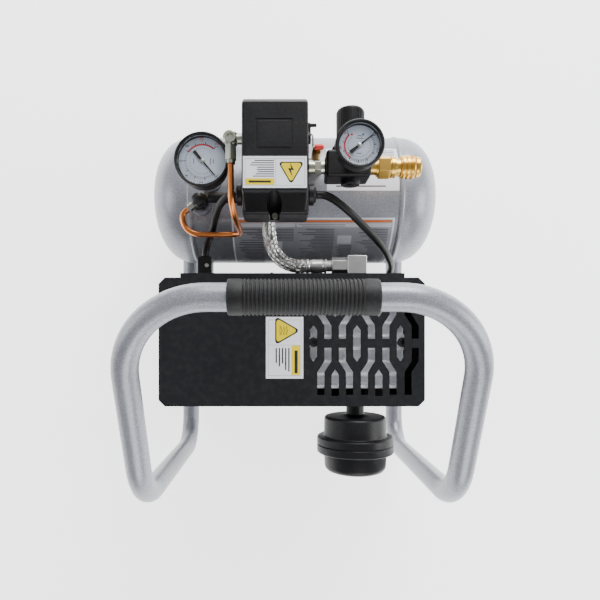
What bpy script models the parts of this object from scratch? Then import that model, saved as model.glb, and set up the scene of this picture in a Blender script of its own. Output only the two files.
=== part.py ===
"""Small quiet air compressor: a bent-tube carry frame with a tank in front and a covered pump behind.

Metres, +Z up.  X runs across the machine, -Y is the tank side and +Y is the side with the air filter.
The origin is on the floor, in the middle of the machine's box.
"""
import math

import bmesh
import bpy
from mathutils import Matrix, Vector

GAP = 0.0003                      # kept between solids that touch

# Carry frame: one bent steel tube
TUBE_RADIUS = 0.0111
TUBE_WALL = 0.0016
TUBE_SIDES = 12
FRAME_X = 0.143                   # both rails, legs and arms
FOOT_HEIGHT = 0.012
RAIL_Z = FOOT_HEIGHT + TUBE_RADIUS
RAIL_FRONT_Y = -0.190
LEG_Y = 0.1899
SHOULDER_Z = 0.282
GRIP_Y = 0.0099
GRIP_Z = 0.366
HEEL_BEND = 0.040
SHOULDER_BEND = 0.060
GRIP_BEND = 0.070
GRIP_RADIUS = 0.014
GRIP_HALF = 0.057
CUFF_LENGTH = 0.0115
FOOT_RADIUS = 0.0145
FOOT_SPOTS = (("front_left", 1, -0.160), ("front_right", -1, -0.160),
              ("rear_left", 1, 0.128), ("rear_right", -1, 0.128))

# Tank: a rolled shell with two pressed heads
TANK_Y = -0.126
TANK_Z = 0.110
TANK_RADIUS = 0.075
TANK_WALL = 0.0025
TANK_SEAM_X = 0.118
TANK_END_X = 0.1695
TANK_SEGMENTS = 24
HEAD_POWER = 2.35                 # superellipse power of the pressed heads
HEAD_STEPS = 6
TANK_TOP_Z = TANK_Z + TANK_RADIUS

# Saddles under the tank and the drain valve below it
WEB_INNER_X = 0.106
WEB_OUTER_X = 0.110
WEB_HALF_Y = 0.052
WEB_LOW_Z = 0.021
WEB_HIGH_Z = 0.056
TAB_OUTER_X = 0.154
TAB_NEAR = 0.024                  # each tab lies between these distances from the tank's axis
TAB_FAR = 0.050
TAB_THICK = 0.0025
DRAIN_BODY_Z = 0.021
DRAIN_KEY_Z = 0.012
DRAIN_KEY_RADIUS = 0.005
DRAIN_WING_HALF = 0.013

# Tray and cover over the pump
RAIL_TOP_Z = RAIL_Z + TUBE_RADIUS
TRAY_Z = RAIL_TOP_Z + GAP
TRAY_THICK = 0.003
TRAY_TOP_Z = TRAY_Z + TRAY_THICK
TRAY_HALF_X = 0.152
TRAY_FRONT_Y = -0.021
TRAY_REAR_Y = 0.1135
TRAY_LIP_HALF_X = 0.128
TRAY_LIP_THICK = 0.0025
TRAY_LIP_DROP = 0.010
TRAY_VENT = ((0.020, 0.020), (0.036, 0.072))   # opening under the fan side
COVER_LEFT_X = 0.1410
COVER_RIGHT_X = -0.1296
COVER_FRONT_Y = -0.0195
COVER_REAR_Y = 0.1115
COVER_TOP_Z = 0.230
COVER_WALL = 0.0015
COVER_CHAMFER = 0.0063
LIP_LEFT_X = 0.119                # raised panel along the front wall
LIP_RIGHT_X = -0.109
LIP_DEPTH = 0.0045
GRILLE_X = -0.0606                # middle long slot
GRILLE_Y = 0.0474
GRILLE_PITCH = 0.0443
SLOT_WIDTH = 0.0068
LONG_SLOT_HALF = 0.0185
BENT_SLOT_SHIFT = 0.0148          # from the long slot beside it
BENT_SLOT_LEAN = 0.0072
SHORT_SLOT_NEAR = 0.0265
SHORT_SLOT_FAR = 0.0535
END_VENT_COUNT = 5
END_VENT_Z = 0.070
END_VENT_PITCH = 0.016
END_VENT_HEIGHT = 0.006
END_VENT_Y = (0.012, 0.080)
LEAD_HOLE = (-0.1163, 0.118)      # X and Z in the cover's front wall
CLAMP_HOLE = (0.0990, 0.189)

# Pump: motor along X, cylinder upright
PUMP_Y = 0.0464
SHAFT_Z = 0.100
CYLINDER_X = -0.0624
CYLINDER_BASE_Z = 0.140
HEAD_BASE_Z = 0.1803
HEAD_TOP_Z = 0.222
HEAD_HALF_X = 0.0495
HEAD_HALF_Y = 0.0475
FIN_PITCH = 0.0132
FIN_COUNT = 8
BORE_RADIUS = 0.0255
PISTON_RADIUS = 0.0195
CRANK_THROW = 0.005
CRANK_PIN_RADIUS = 0.0118
ROD_EYE_RADIUS = 0.018
MOUNT_TOP_Z = 0.0408
CASE_FOOT_TOP_Z = 0.0475
FAN_X = -0.1045
FAN_BLADES = 7
FAN_BLADE_ANGLE = 32              # degrees
BARREL_RADIUS = 0.0295
BARREL_FIN_RADIUS = 0.0355
CAPACITOR = (0.108, 0.085)
CAPACITOR_RADIUS = 0.0175
CAPACITOR_TOP_Z = 0.104
FILTER_X = -0.0629
FILTER_Z = 0.200
FILTER_RADIUS = 0.033
FILTER_RING_RADIUS = 0.0407
FILTER_START_Y = 0.1253
FILTER_SPLIT_Y = 0.1550
FILTER_END_Y = 0.1843

# Fittings above the tank
SWITCH_X = 0.0222
SWITCH_BASE_Z = 0.209
SWITCH_SPLIT_Z = 0.250
SWITCH_TOP_Z = 0.290
SWITCH_HALF_X = 0.0302
SWITCH_FRONT_Y = -0.1755
SWITCH_REAR_Y = -0.0806
SWITCH_BASE_HALF_X = 0.0330
SWITCH_BASE_REAR_Y = -0.0795
SWITCH_SCREW = (0.0229, -0.0850)  # upright well for the cover's screw
SWITCH_SCREW_WELL = 0.0072
SWITCH_SCREW_Z = 0.222
LEVER_Y = -0.146
LEVER_Z = 0.270
GLAND_Y = -0.1016
GLAND_Z = 0.237
MOTOR_GLAND_LENGTH = 0.0077
SUPPLY_GLAND_LENGTH = 0.0062
REGULATOR_X = -0.0524
REGULATOR_Y = -0.1286
REGULATOR_Z = 0.240
COUPLER_Y = -0.1281
TANK_GAUGE = (0.0927, -0.1294, 0.262)
TANK_GAUGE_RADIUS = 0.0265
REG_GAUGE = (REGULATOR_X, REGULATOR_Y, 0.306)
REG_GAUGE_RADIUS = 0.0215
CHECK_VALVE = (0.105, -0.106)
ELBOW = (CYLINDER_X - 0.0018, -0.0350, 0.1985)
SWIVEL_X = 0.0298
PIPE_START_X = 0.0210
PIPE_RADIUS = 0.0058
AIR_LINE_Z = 0.198
UNLOADER = (0.0640, -0.146, 0.268)
SAFETY_VALVE = (-0.0195, -0.1462)
LEAD_RADIUS = 0.004
HOSE_RADIUS = 0.00675
COPPER_RADIUS = 0.003

# Turns local (across, up, along) into world axes without mirroring
AXES = {"X": Matrix(((0, 0, 1), (1, 0, 0), (0, 1, 0))),
        "Y": Matrix(((0, 1, 0), (0, 0, 1), (1, 0, 0))),
        "Z": Matrix.Identity(3)}


def clear_scene():
    for item in list(bpy.data.objects):
        bpy.data.objects.remove(item, do_unlink=True)


def make_material(name, color, roughness, metallic):
    material = bpy.data.materials.new(name)
    material.use_nodes = True
    shader = material.node_tree.nodes["Principled BSDF"]
    shader.inputs["Base Color"].default_value = (*color, 1.0)
    shader.inputs["Roughness"].default_value = roughness
    shader.inputs["Metallic"].default_value = metallic
    material.diffuse_color = (*color, 1.0)
    return material


FINISHES = {
    "silver_paint": ((0.50, 0.51, 0.54), 0.45, 0.6),
    "black_sheet": ((0.025, 0.027, 0.030), 0.45, 0.0),
    "black_plastic": ((0.020, 0.021, 0.023), 0.40, 0.0),
    "grip_foam": ((0.030, 0.031, 0.033), 0.70, 0.0),
    "rubber": ((0.018, 0.018, 0.018), 0.80, 0.0),
    "cast_aluminium": ((0.62, 0.63, 0.65), 0.45, 1.0),
    "steel": ((0.55, 0.55, 0.56), 0.35, 1.0),
    "zinc": ((0.62, 0.63, 0.55), 0.35, 1.0),
    "brass": ((0.72, 0.52, 0.20), 0.30, 1.0),
    "copper": ((0.78, 0.38, 0.20), 0.30, 1.0),
    "braid": ((0.60, 0.60, 0.60), 0.35, 1.0),
    "dial_white": ((0.80, 0.84, 0.88), 0.50, 0.0),
    "clear_lens": ((0.90, 0.95, 1.00), 0.05, 0.0),
    "red_plastic": ((0.70, 0.02, 0.02), 0.40, 0.0),
    "lamination": ((0.25, 0.25, 0.27), 0.50, 1.0),
    "filter_foam": ((0.60, 0.58, 0.50), 0.90, 0.0),
}
MATERIALS = {}


def temporary(bm):
    """A nameless object from a bmesh, with its faces turned outward."""
    bmesh.ops.recalc_face_normals(bm, faces=bm.faces)
    mesh = bpy.data.meshes.new("shape")
    bm.to_mesh(mesh)
    bm.free()
    item = bpy.data.objects.new("shape", mesh)
    bpy.context.collection.objects.link(item)
    return item


def place(axis, centre, across, up, along):
    return Vector(centre) + AXES[axis] @ Vector((across, up, along))


def turned(axis, centre, profile, segments):
    """Turn (along, radius) points about an axis; a profile off the axis at both ends closes on itself."""
    bm = bmesh.new()
    rings = []
    for along, radius in profile:
        if radius == 0:
            rings.append([bm.verts.new(place(axis, centre, 0, 0, along))])
            continue
        ring = []
        for step in range(segments):
            angle = 2 * math.pi * step / segments
            ring.append(bm.verts.new(place(axis, centre, radius * math.cos(angle),
                                           radius * math.sin(angle), along)))
        rings.append(ring)
    pairs = list(zip(rings, rings[1:]))
    if profile[0][1] > 0 and profile[-1][1] > 0:
        pairs.append((rings[-1], rings[0]))
    for low, high in pairs:
        for step in range(segments):
            after = (step + 1) % segments
            corners = []
            for ring, index in ((low, step), (low, after), (high, after), (high, step)):
                vertex = ring[index % len(ring)]
                if vertex not in corners:
                    corners.append(vertex)
            bm.faces.new(corners)
    return temporary(bm)


def rod(axis, centre, start, end, radius, segments=16):
    return turned(axis, centre, ((start, 0), (start, radius), (end, radius), (end, 0)), segments)


def pipe(axis, centre, start, end, radius, bore, segments=16):
    return turned(axis, centre, ((start, radius), (end, radius), (end, bore), (start, bore)), segments)


def add_prism(bm, axis, outline, start, end):
    """Extrude an (across, up) outline between two places along an axis."""
    low = [bm.verts.new(place(axis, (0, 0, 0), a, b, start)) for a, b in outline]
    high = [bm.verts.new(place(axis, (0, 0, 0), a, b, end)) for a, b in outline]
    bm.faces.new(low)
    bm.faces.new(high)
    for step in range(len(outline)):
        after = (step + 1) % len(outline)
        bm.faces.new((low[step], low[after], high[after], high[step]))


def prism(axis, outline, start, end):
    bm = bmesh.new()
    add_prism(bm, axis, outline, start, end)
    return temporary(bm)


def block(low, high):
    outline = ((low[0], low[1]), (high[0], low[1]), (high[0], high[1]), (low[0], high[1]))
    return prism("Z", outline, low[2], high[2])


def hollow_sweep(points, radius, bore, sides):
    """A pipe along a route, its section carried round each bend without twist."""
    bm = bmesh.new()
    normal = Vector((0, 0, 1))
    rings = []
    for index, point in enumerate(points):
        before = points[max(index - 1, 0)]
        after = points[min(index + 1, len(points) - 1)]
        tangent = (after - before).normalized()
        normal = (normal - tangent * normal.dot(tangent)).normalized()
        side = tangent.cross(normal)
        for size in (radius, bore):
            ring = []
            for step in range(sides):
                angle = 2 * math.pi * step / sides
                offset = normal * math.cos(angle) + side * math.sin(angle)
                ring.append(bm.verts.new(point + offset * size))
            rings.append(ring)
    links = [(k, k + 2) for k in range(len(rings) - 2)] + [(0, 1), (len(rings) - 2, len(rings) - 1)]
    for first, second in links:
        for step in range(sides):
            after = (step + 1) % sides
            bm.faces.new((rings[first][step], rings[first][after],
                          rings[second][after], rings[second][step]))
    return temporary(bm)


def bent_route(corners, bends, steps):
    """The corners' polyline with each inner corner rounded to its bend radius."""
    points = [corners[0]]
    for index, bend in enumerate(bends, start=1):
        corner = corners[index]
        back = (corners[index - 1] - corner).normalized()
        ahead = (corners[index + 1] - corner).normalized()
        half = back.angle(ahead) / 2
        centre = corner + (back + ahead).normalized() * bend / math.sin(half)
        first = (corner + back * bend / math.tan(half) - centre).normalized()
        last = (corner + ahead * bend / math.tan(half) - centre).normalized()
        for step in range(steps + 1):
            points.append(centre + first.slerp(last, step / steps) * bend)
    points.append(corners[-1])
    return points


def smooth_route(corners, spacing):
    """Points at an even spacing along a Catmull-Rom curve through the corners."""
    knots = [Vector(corner) for corner in corners]
    knots = [knots[0] * 2 - knots[1]] + knots + [knots[-1] * 2 - knots[-2]]
    fine = []
    for index in range(1, len(knots) - 2):
        p0, p1, p2, p3 = knots[index - 1:index + 3]
        for step in range(24):
            t = step / 24
            fine.append(0.5 * (2 * p1 + (p2 - p0) * t + (2 * p0 - 5 * p1 + 4 * p2 - p3) * t * t
                               + (3 * p1 - 3 * p2 + p3 - p0) * t ** 3))
    fine.append(knots[-2])
    length = sum((b - a).length for a, b in zip(fine, fine[1:]))
    count = round(length / spacing)
    route = [fine[0]]
    walked = 0.0
    for a, b in zip(fine, fine[1:]):
        step_length = (b - a).length
        while len(route) < count and walked + step_length >= length * len(route) / count:
            share = (length * len(route) / count - walked) / step_length
            route.append(a.lerp(b, share))
        walked += step_length
    route.append(fine[-1])
    return route


def add_cord(name, finish, corners, radius, resolution):
    """A cord, hose or small tube as a bevelled curve; it leaves each fitting square, with a filled end."""
    route = smooth_route(corners, radius * 4)
    ends = [Vector(corner) for corner in (corners[0], corners[1], corners[-2], corners[-1])]
    leaving = ends[0] + (ends[1] - ends[0]).normalized() * radius
    arriving = ends[3] + (ends[2] - ends[3]).normalized() * radius
    route = [route[0], leaving] + route[1:-1] + [arriving, route[-1]]
    curve = bpy.data.curves.new(name, "CURVE")
    curve.dimensions = "3D"
    curve.bevel_depth = radius
    curve.bevel_resolution = resolution
    curve.use_fill_caps = True
    spline = curve.splines.new("POLY")
    spline.points.add(len(route) - 1)
    for point, place_on_route in zip(spline.points, route):
        point.co = (*place_on_route, 1.0)
    curve.materials.append(MATERIALS[finish])
    item = bpy.data.objects.new(name, curve)
    bpy.context.collection.objects.link(item)
    return item


def combine(base, others, operation):
    """Unite the base with each other solid, or cut each from it, and drop the others."""
    for other in others:
        modifier = base.modifiers.new("join", "BOOLEAN")
        modifier.operation = operation
        modifier.solver = "EXACT"
        modifier.object = other
        evaluated = base.evaluated_get(bpy.context.evaluated_depsgraph_get())
        mesh = bpy.data.meshes.new_from_object(evaluated)
        base.modifiers.clear()
        base.data = mesh
        bpy.data.objects.remove(other, do_unlink=True)
    return base


def finish_part(name, finish, base, add=(), cut=()):
    combine(base, add, "UNION")
    combine(base, cut, "DIFFERENCE")
    base.name = name
    base.data.name = name
    base.data.materials.clear()
    base.data.materials.append(MATERIALS[finish])
    base.data.shade_smooth()
    base.data.set_sharp_from_angle(angle=math.radians(35))
    return base


def tank_cutter():
    """The tank's outside with a gap, to shape what stands on it."""
    return rod("X", (0, TANK_Y, TANK_Z), -TANK_SEAM_X, TANK_SEAM_X, TANK_RADIUS + GAP, TANK_SEGMENTS)


def set_pivot(item, pivot):
    """Move the object's origin to its joint, leaving its mesh in place."""
    item.data.transform(Matrix.Translation(-Vector(pivot)))
    item.location = pivot


# ---------------------------------------------------------------- carry frame

def build_frame():
    side = []
    for x in (FRAME_X, -FRAME_X):
        side.append([Vector((x, RAIL_FRONT_Y, RAIL_Z)), Vector((x, LEG_Y, RAIL_Z)),
                     Vector((x, LEG_Y, SHOULDER_Z)), Vector((x, GRIP_Y, GRIP_Z))])
    corners = side[0] + side[1][::-1]
    bends = (HEEL_BEND, SHOULDER_BEND, GRIP_BEND, GRIP_BEND, SHOULDER_BEND, HEEL_BEND)
    route = bent_route(corners, bends, 5)
    finish_part("frame_tube", "silver_paint",
                hollow_sweep(route, TUBE_RADIUS, TUBE_RADIUS - TUBE_WALL, TUBE_SIDES))


def build_grip():
    bore = TUBE_RADIUS + GAP
    ribbed = GRIP_RADIUS - 0.0006
    inner = GRIP_HALF - CUFF_LENGTH
    profile = ((-GRIP_HALF, GRIP_RADIUS), (-inner, GRIP_RADIUS), (-inner, ribbed),
               (inner, ribbed), (inner, GRIP_RADIUS), (GRIP_HALF, GRIP_RADIUS),
               (GRIP_HALF, bore), (-GRIP_HALF, bore))
    finish_part("handle_grip", "grip_foam", turned("X", (0, GRIP_Y, GRIP_Z), profile, 16))


def build_feet():
    for spot, side, y in FOOT_SPOTS:
        x = side * FRAME_X
        top = RAIL_Z - 0.003
        profile = ((0, 0), (0, FOOT_RADIUS), (top, FOOT_RADIUS - 0.001), (top, 0))
        tube = rod("Y", (x, y, RAIL_Z), -0.03, 0.03, TUBE_RADIUS + GAP, 12)
        finish_part("foot_" + spot, "rubber", turned("Z", (x, y, 0), profile, 12), cut=[tube])


# ----------------------------------------------------------------------- tank

def build_tank():
    axis = (0, TANK_Y, TANK_Z)
    inside = TANK_RADIUS - TANK_WALL
    end = TANK_SEAM_X - GAP / 2
    finish_part("tank_shell", "silver_paint",
                pipe("X", axis, -end, end, TANK_RADIUS, inside, TANK_SEGMENTS))
    depth = TANK_END_X - TANK_SEAM_X
    for spot, side in (("left", 1), ("right", -1)):
        profile = []
        for radius, length in ((TANK_RADIUS, depth), (inside, depth - TANK_WALL)):
            arc = []
            for step in range(HEAD_STEPS + 1):
                angle = math.pi / 2 * step / HEAD_STEPS
                along = length * math.sin(angle) ** (2 / HEAD_POWER)
                out = radius * max(math.cos(angle), 0) ** (2 / HEAD_POWER)
                arc.append((side * (TANK_SEAM_X + GAP / 2 + along), out if step < HEAD_STEPS else 0))
            profile.append(arc)
        wall = profile[1][::-1] + profile[0]
        finish_part("tank_head_" + spot, "silver_paint", turned("X", axis, wall, TANK_SEGMENTS))


def build_saddles():
    """Pressed brackets: an upright web under the shell and two tabs over the rail."""
    for spot, side in (("left", 1), ("right", -1)):
        near_x, far_x = sorted((side * WEB_INNER_X, side * WEB_OUTER_X))
        web = block((near_x, TANK_Y - WEB_HALF_Y, WEB_LOW_Z), (far_x, TANK_Y + WEB_HALF_Y, WEB_HIGH_Z))
        tabs = []
        for end in (-1, 1):
            near_x, far_x = sorted((side * WEB_INNER_X, side * TAB_OUTER_X))
            near_y, far_y = sorted((TANK_Y + end * TAB_NEAR, TANK_Y + end * TAB_FAR))
            tabs.append(block((near_x, near_y, TRAY_Z), (far_x, far_y, TRAY_Z + TAB_THICK)))
        finish_part("tank_saddle_" + spot, "silver_paint", web, add=tabs, cut=[tank_cutter()])


def build_drain():
    centre = (0, TANK_Y, 0)
    body = turned("Z", centre, ((DRAIN_BODY_Z, 0), (DRAIN_BODY_Z, 0.0065), (0.026, 0.0065),
                                (0.026, 0.009), (0.040, 0.009), (0.040, 0)), 12)
    finish_part("drain_valve_body", "brass", body, cut=[tank_cutter()])
    key = rod("Z", centre, DRAIN_KEY_Z, DRAIN_BODY_Z - GAP, DRAIN_KEY_RADIUS, 12)
    wings = block((-DRAIN_WING_HALF, TANK_Y - 0.0015, DRAIN_KEY_Z + 0.0005),
                  (DRAIN_WING_HALF, TANK_Y + 0.0015, DRAIN_KEY_Z + 0.0065))
    set_pivot(finish_part("drain_valve_key", "brass", key, add=[wings]), centre)


# ------------------------------------------------------------ tray and cover

def build_tray():
    plate = block((-TRAY_HALF_X, TRAY_FRONT_Y, TRAY_Z), (TRAY_HALF_X, TRAY_REAR_Y, TRAY_TOP_Z))
    lips = []
    for y in (TRAY_FRONT_Y, TRAY_REAR_Y - TRAY_LIP_THICK):
        lips.append(block((-TRAY_LIP_HALF_X, y, TRAY_Z - TRAY_LIP_DROP),
                          (TRAY_LIP_HALF_X, y + TRAY_LIP_THICK, TRAY_Z + 0.001)))
    vent_low, vent_high = TRAY_VENT
    vent = block((*vent_low, TRAY_Z - 0.02), (*vent_high, TRAY_Z + 0.02))
    finish_part("pump_tray", "silver_paint", plate, add=lips, cut=[vent])


def cover_outline(inset):
    """Plan of the cover, drawn in by inset: chamfered corners and the raised front panel."""
    left, right = COVER_LEFT_X - inset, COVER_RIGHT_X + inset
    front, rear = COVER_FRONT_Y + inset, COVER_REAR_Y - inset
    lip = COVER_FRONT_Y - LIP_DEPTH + inset
    bevel = COVER_CHAMFER - inset * 0.6
    return ((right, rear - bevel), (right, front + bevel), (right + bevel, front),
            (LIP_RIGHT_X + inset, front), (LIP_RIGHT_X + inset, lip), (LIP_LEFT_X - inset, lip),
            (LIP_LEFT_X - inset, front), (left - bevel, front), (left, front + bevel),
            (left, rear - bevel), (left - bevel, rear), (right + bevel, rear))


def straight_slot(x, near, far, tip_near, tip_far):
    """A slot along Y about x, pointed at the ends that have a tip."""
    half = SLOT_WIDTH / 2
    outline = [(x - half, near + tip_near * half), (x - half, far - tip_far * half)]
    if tip_far:
        outline.append((x, far))
    outline += [(x + half, far - tip_far * half), (x + half, near + tip_near * half)]
    if tip_near:
        outline.append((x, near))
    return outline


def bent_slot(x, lean, side):
    """A slot that runs straight, leans across, and runs straight again."""
    half = SLOT_WIDTH / 2 - 0.0002
    stations = ((0.0046, 0), (0.0180, 0), (0.0293, lean), (0.0525, lean))
    up = [(x - half + shift, GRILLE_Y + side * y) for y, shift in stations]
    down = [(x + half + shift, GRILLE_Y + side * y) for y, shift in stations[::-1]]
    return up + down


def grille_outlines():
    outlines = []
    for column in (-1, 0, 1):
        x = GRILLE_X + column * GRILLE_PITCH
        outlines.append(straight_slot(x, GRILLE_Y - LONG_SLOT_HALF, GRILLE_Y + LONG_SLOT_HALF, 1.3, 1.3))
        for hand in (-1, 1):
            if column == 1 and hand == 1:
                continue
            for side in (-1, 1):
                outlines.append(bent_slot(x + hand * BENT_SLOT_SHIFT, -hand * BENT_SLOT_LEAN, side))
    for column in (-0.5, 0.5):
        x = GRILLE_X + column * GRILLE_PITCH
        outlines.append(straight_slot(x, GRILLE_Y + SHORT_SLOT_NEAR, GRILLE_Y + SHORT_SLOT_FAR, 1.5, 0))
        outlines.append(straight_slot(x, GRILLE_Y - SHORT_SLOT_FAR, GRILLE_Y - SHORT_SLOT_NEAR, 0, 1.5))
    return outlines


def build_cover():
    shell = prism("Z", cover_outline(0), TRAY_TOP_Z + GAP, COVER_TOP_Z)
    inside = prism("Z", cover_outline(COVER_WALL), TRAY_TOP_Z - 0.01, COVER_TOP_Z - COVER_WALL)
    slots = bmesh.new()
    for outline in grille_outlines():
        add_prism(slots, "Z", outline, COVER_TOP_Z - 0.005, COVER_TOP_Z + 0.005)
    vents = bmesh.new()
    near, far = END_VENT_Y
    for x in (COVER_RIGHT_X, COVER_LEFT_X):
        for row in range(END_VENT_COUNT):
            low = END_VENT_Z + row * END_VENT_PITCH
            high = low + END_VENT_HEIGHT
            add_prism(vents, "X", ((near, low), (far, low), (far, high), (near, high)), x - 0.005, x + 0.005)
    outlet = rod("Y", (ELBOW[0], 0, ELBOW[2]), -0.04, 0.0, 0.0075, 12)
    inlet = rod("Y", (FILTER_X, 0, FILTER_Z), 0.10, 0.12, 0.0105, 16)
    lead_hole = rod("Y", (LEAD_HOLE[0], 0, LEAD_HOLE[1]), -0.04, 0.0, 0.0052, 12)
    clamp_hole = rod("Y", (CLAMP_HOLE[0], 0, CLAMP_HOLE[1]), -0.04, 0.0, 0.0060, 12)
    finish_part("pump_cover", "black_sheet", shell,
                cut=[inside, temporary(slots), temporary(vents), outlet, inlet, lead_hole, clamp_hole])


# ----------------------------------------------------------------------- pump

def build_crankcase():
    axis = (0, PUMP_Y, SHAFT_Z)
    casing = turned("X", axis, ((-0.090, 0), (-0.090, 0.038), (-0.024, 0.038), (-0.024, 0.058),
                                (0.064, 0.058), (0.064, 0)), 24)
    neck = block((CYLINDER_X - 0.0310, PUMP_Y - 0.0315, 0.118),
                 (CYLINDER_X + 0.0310, PUMP_Y + 0.0315, CYLINDER_BASE_Z))
    foot = block((-0.030, PUMP_Y - 0.042, MOUNT_TOP_Z), (0.056, PUMP_Y + 0.042, CASE_FOOT_TOP_Z))
    hollow = turned("X", axis, ((-0.100, 0), (-0.100, 0.032), (-0.034, 0.032), (-0.034, 0.0078),
                                (-0.018, 0.0078), (-0.018, 0.055), (0.070, 0.055), (0.070, 0)), 24)
    bore = rod("Z", (CYLINDER_X, PUMP_Y, 0), 0.105, 0.150, BORE_RADIUS, 20)
    finish_part("crankcase", "cast_aluminium", casing, add=[neck, foot], cut=[hollow, bore])
    finish_part("pump_mount", "rubber",
                block((-0.036, PUMP_Y - 0.046, TRAY_TOP_Z + GAP), (0.062, PUMP_Y + 0.046, MOUNT_TOP_Z - GAP)))


def build_motor():
    axis = (0, PUMP_Y, SHAFT_Z)
    stator = ((-0.014, 0.044), (-0.006, 0.046), (-0.006, 0.0547), (0.042, 0.0547), (0.042, 0.046),
              (0.052, 0.044), (0.052, 0.034), (0.042, 0.0305), (-0.006, 0.0305), (-0.014, 0.034))
    finish_part("motor_stator", "lamination", turned("X", axis, stator, 24))
    profile = ((-0.1165, 0), (-0.1165, 0.006), (-0.008, 0.006), (-0.008, 0.0290), (0.044, 0.0290),
               (0.044, 0.006), (0.070, 0.006), (0.070, 0))
    shaft = turned("X", axis, profile, 16)
    crank = (0, PUMP_Y, SHAFT_Z + CRANK_THROW)
    crank_pin = rod("X", crank, CYLINDER_X - 0.008, CYLINDER_X + 0.008, CRANK_PIN_RADIUS, 16)
    weight = block((CYLINDER_X + 0.0095, PUMP_Y - 0.012, SHAFT_Z - 0.024),
                   (CYLINDER_X + 0.0155, PUMP_Y + 0.012, SHAFT_Z + 0.004))
    set_pivot(finish_part("rotor_shaft", "steel", shaft, add=[crank_pin, weight]), axis)


def build_fan():
    axis = (0, PUMP_Y, SHAFT_Z)
    hub = pipe("X", axis, -0.1145, -0.1000, 0.012, 0.006 + GAP, 16)
    blades = []
    for index in range(FAN_BLADES):
        blade = block((-0.1135, -0.0095, 0.0105), (-0.1117, 0.0095, 0.040))
        blade.data.transform(Matrix.Translation((0.1070, 0, 0)))
        blade.data.transform(Matrix.Rotation(math.radians(FAN_BLADE_ANGLE), 4, "Z"))
        turn = Matrix.Rotation(2 * math.pi * index / FAN_BLADES, 4, "X")
        blade.data.transform(Matrix.Translation((FAN_X, PUMP_Y, SHAFT_Z)) @ turn)
        blades.append(blade)
    set_pivot(finish_part("cooling_fan", "black_plastic", hub, add=blades), axis)


def build_rod():
    """Rocking piston and rod in one; the eye runs on the crank with a wide clearance."""
    crank = (0, PUMP_Y, SHAFT_Z + CRANK_THROW)
    eye = rod("X", crank, CYLINDER_X - 0.007, CYLINDER_X + 0.007, ROD_EYE_RADIUS, 20)
    shank = block((CYLINDER_X - 0.004, PUMP_Y - 0.006, SHAFT_Z + 0.018),
                  (CYLINDER_X + 0.004, PUMP_Y + 0.006, 0.166))
    piston = rod("Z", (CYLINDER_X, PUMP_Y, 0), 0.164, 0.171, PISTON_RADIUS, 20)
    bearing = rod("X", crank, CYLINDER_X - 0.02, CYLINDER_X + 0.02, 0.0124, 16)
    item = finish_part("connecting_rod", "cast_aluminium", eye, add=[shank, piston], cut=[bearing])
    set_pivot(item, crank)


def build_cylinder():
    centre = (CYLINDER_X, PUMP_Y, 0)
    base = CYLINDER_BASE_Z + GAP
    top = HEAD_BASE_Z - GAP
    profile = [(base, BORE_RADIUS), (base, 0.0315)]
    for fin in range(3):
        low = base + 0.008 + fin * 0.010
        profile += [(low, BARREL_RADIUS), (low, BARREL_FIN_RADIUS), (low + 0.003, BARREL_FIN_RADIUS),
                    (low + 0.003, BARREL_RADIUS)]
    profile += [(top, BARREL_RADIUS), (top, BORE_RADIUS)]
    finish_part("cylinder", "cast_aluminium", turned("Z", centre, profile, 20))


def build_head():
    base = block((CYLINDER_X - HEAD_HALF_X, PUMP_Y - HEAD_HALF_Y, HEAD_BASE_Z),
                 (CYLINDER_X + HEAD_HALF_X, PUMP_Y + HEAD_HALF_Y, HEAD_BASE_Z + 0.012))
    fins = []
    for index in range(FIN_COUNT):
        y = PUMP_Y + (index - (FIN_COUNT - 1) / 2) * FIN_PITCH
        fins.append(block((CYLINDER_X - HEAD_HALF_X + 0.001, y - 0.0013, HEAD_BASE_Z + 0.010),
                          (CYLINDER_X + HEAD_HALF_X - 0.001, y + 0.0013, HEAD_TOP_Z)))
    spine = block((CYLINDER_X - 0.014, PUMP_Y - HEAD_HALF_Y + 0.004, HEAD_BASE_Z + 0.010),
                  (CYLINDER_X + 0.014, PUMP_Y + HEAD_HALF_Y - 0.004, 0.214))
    finish_part("cylinder_head", "cast_aluminium", base, add=[spine] + fins)


def build_capacitor():
    finish_part("capacitor", "black_plastic",
                rod("Z", (*CAPACITOR, 0), TRAY_TOP_Z + GAP, CAPACITOR_TOP_Z, CAPACITOR_RADIUS, 16))


def build_filter():
    centre = (FILTER_X, 0, FILTER_Z)
    neck_start = PUMP_Y + HEAD_HALF_Y + GAP
    inner = FILTER_RADIUS - 0.0025
    base = ((neck_start, 0.0095), (FILTER_START_Y, 0.0095), (FILTER_START_Y, FILTER_RADIUS - 0.003),
            (FILTER_START_Y + 0.003, FILTER_RADIUS), (0.1464, FILTER_RADIUS),
            (0.1464, FILTER_RING_RADIUS), (FILTER_SPLIT_Y, FILTER_RING_RADIUS),
            (FILTER_SPLIT_Y, inner), (FILTER_START_Y + 0.0025, inner),
            (FILTER_START_Y + 0.0025, 0.006), (neck_start, 0.006))
    finish_part("filter_base", "black_plastic", turned("Y", centre, base, 24))
    split = FILTER_SPLIT_Y + GAP
    cap = ((split, inner), (split, FILTER_RING_RADIUS), (0.1639, FILTER_RING_RADIUS),
           (0.1639, FILTER_RADIUS), (FILTER_END_Y - 0.005, FILTER_RADIUS),
           (FILTER_END_Y, FILTER_RADIUS - 0.006), (FILTER_END_Y, 0.012), (FILTER_END_Y - 0.0025, 0.012),
           (FILTER_END_Y - 0.0025, inner - 0.002))
    finish_part("filter_cap", "black_plastic", turned("Y", centre, cap, 24))
    finish_part("filter_element", "filter_foam",
                pipe("Y", centre, FILTER_START_Y + 0.003, FILTER_END_Y - 0.003, inner - 0.0025, 0.013, 16))


# ------------------------------------------------------------- air line fittings

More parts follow.
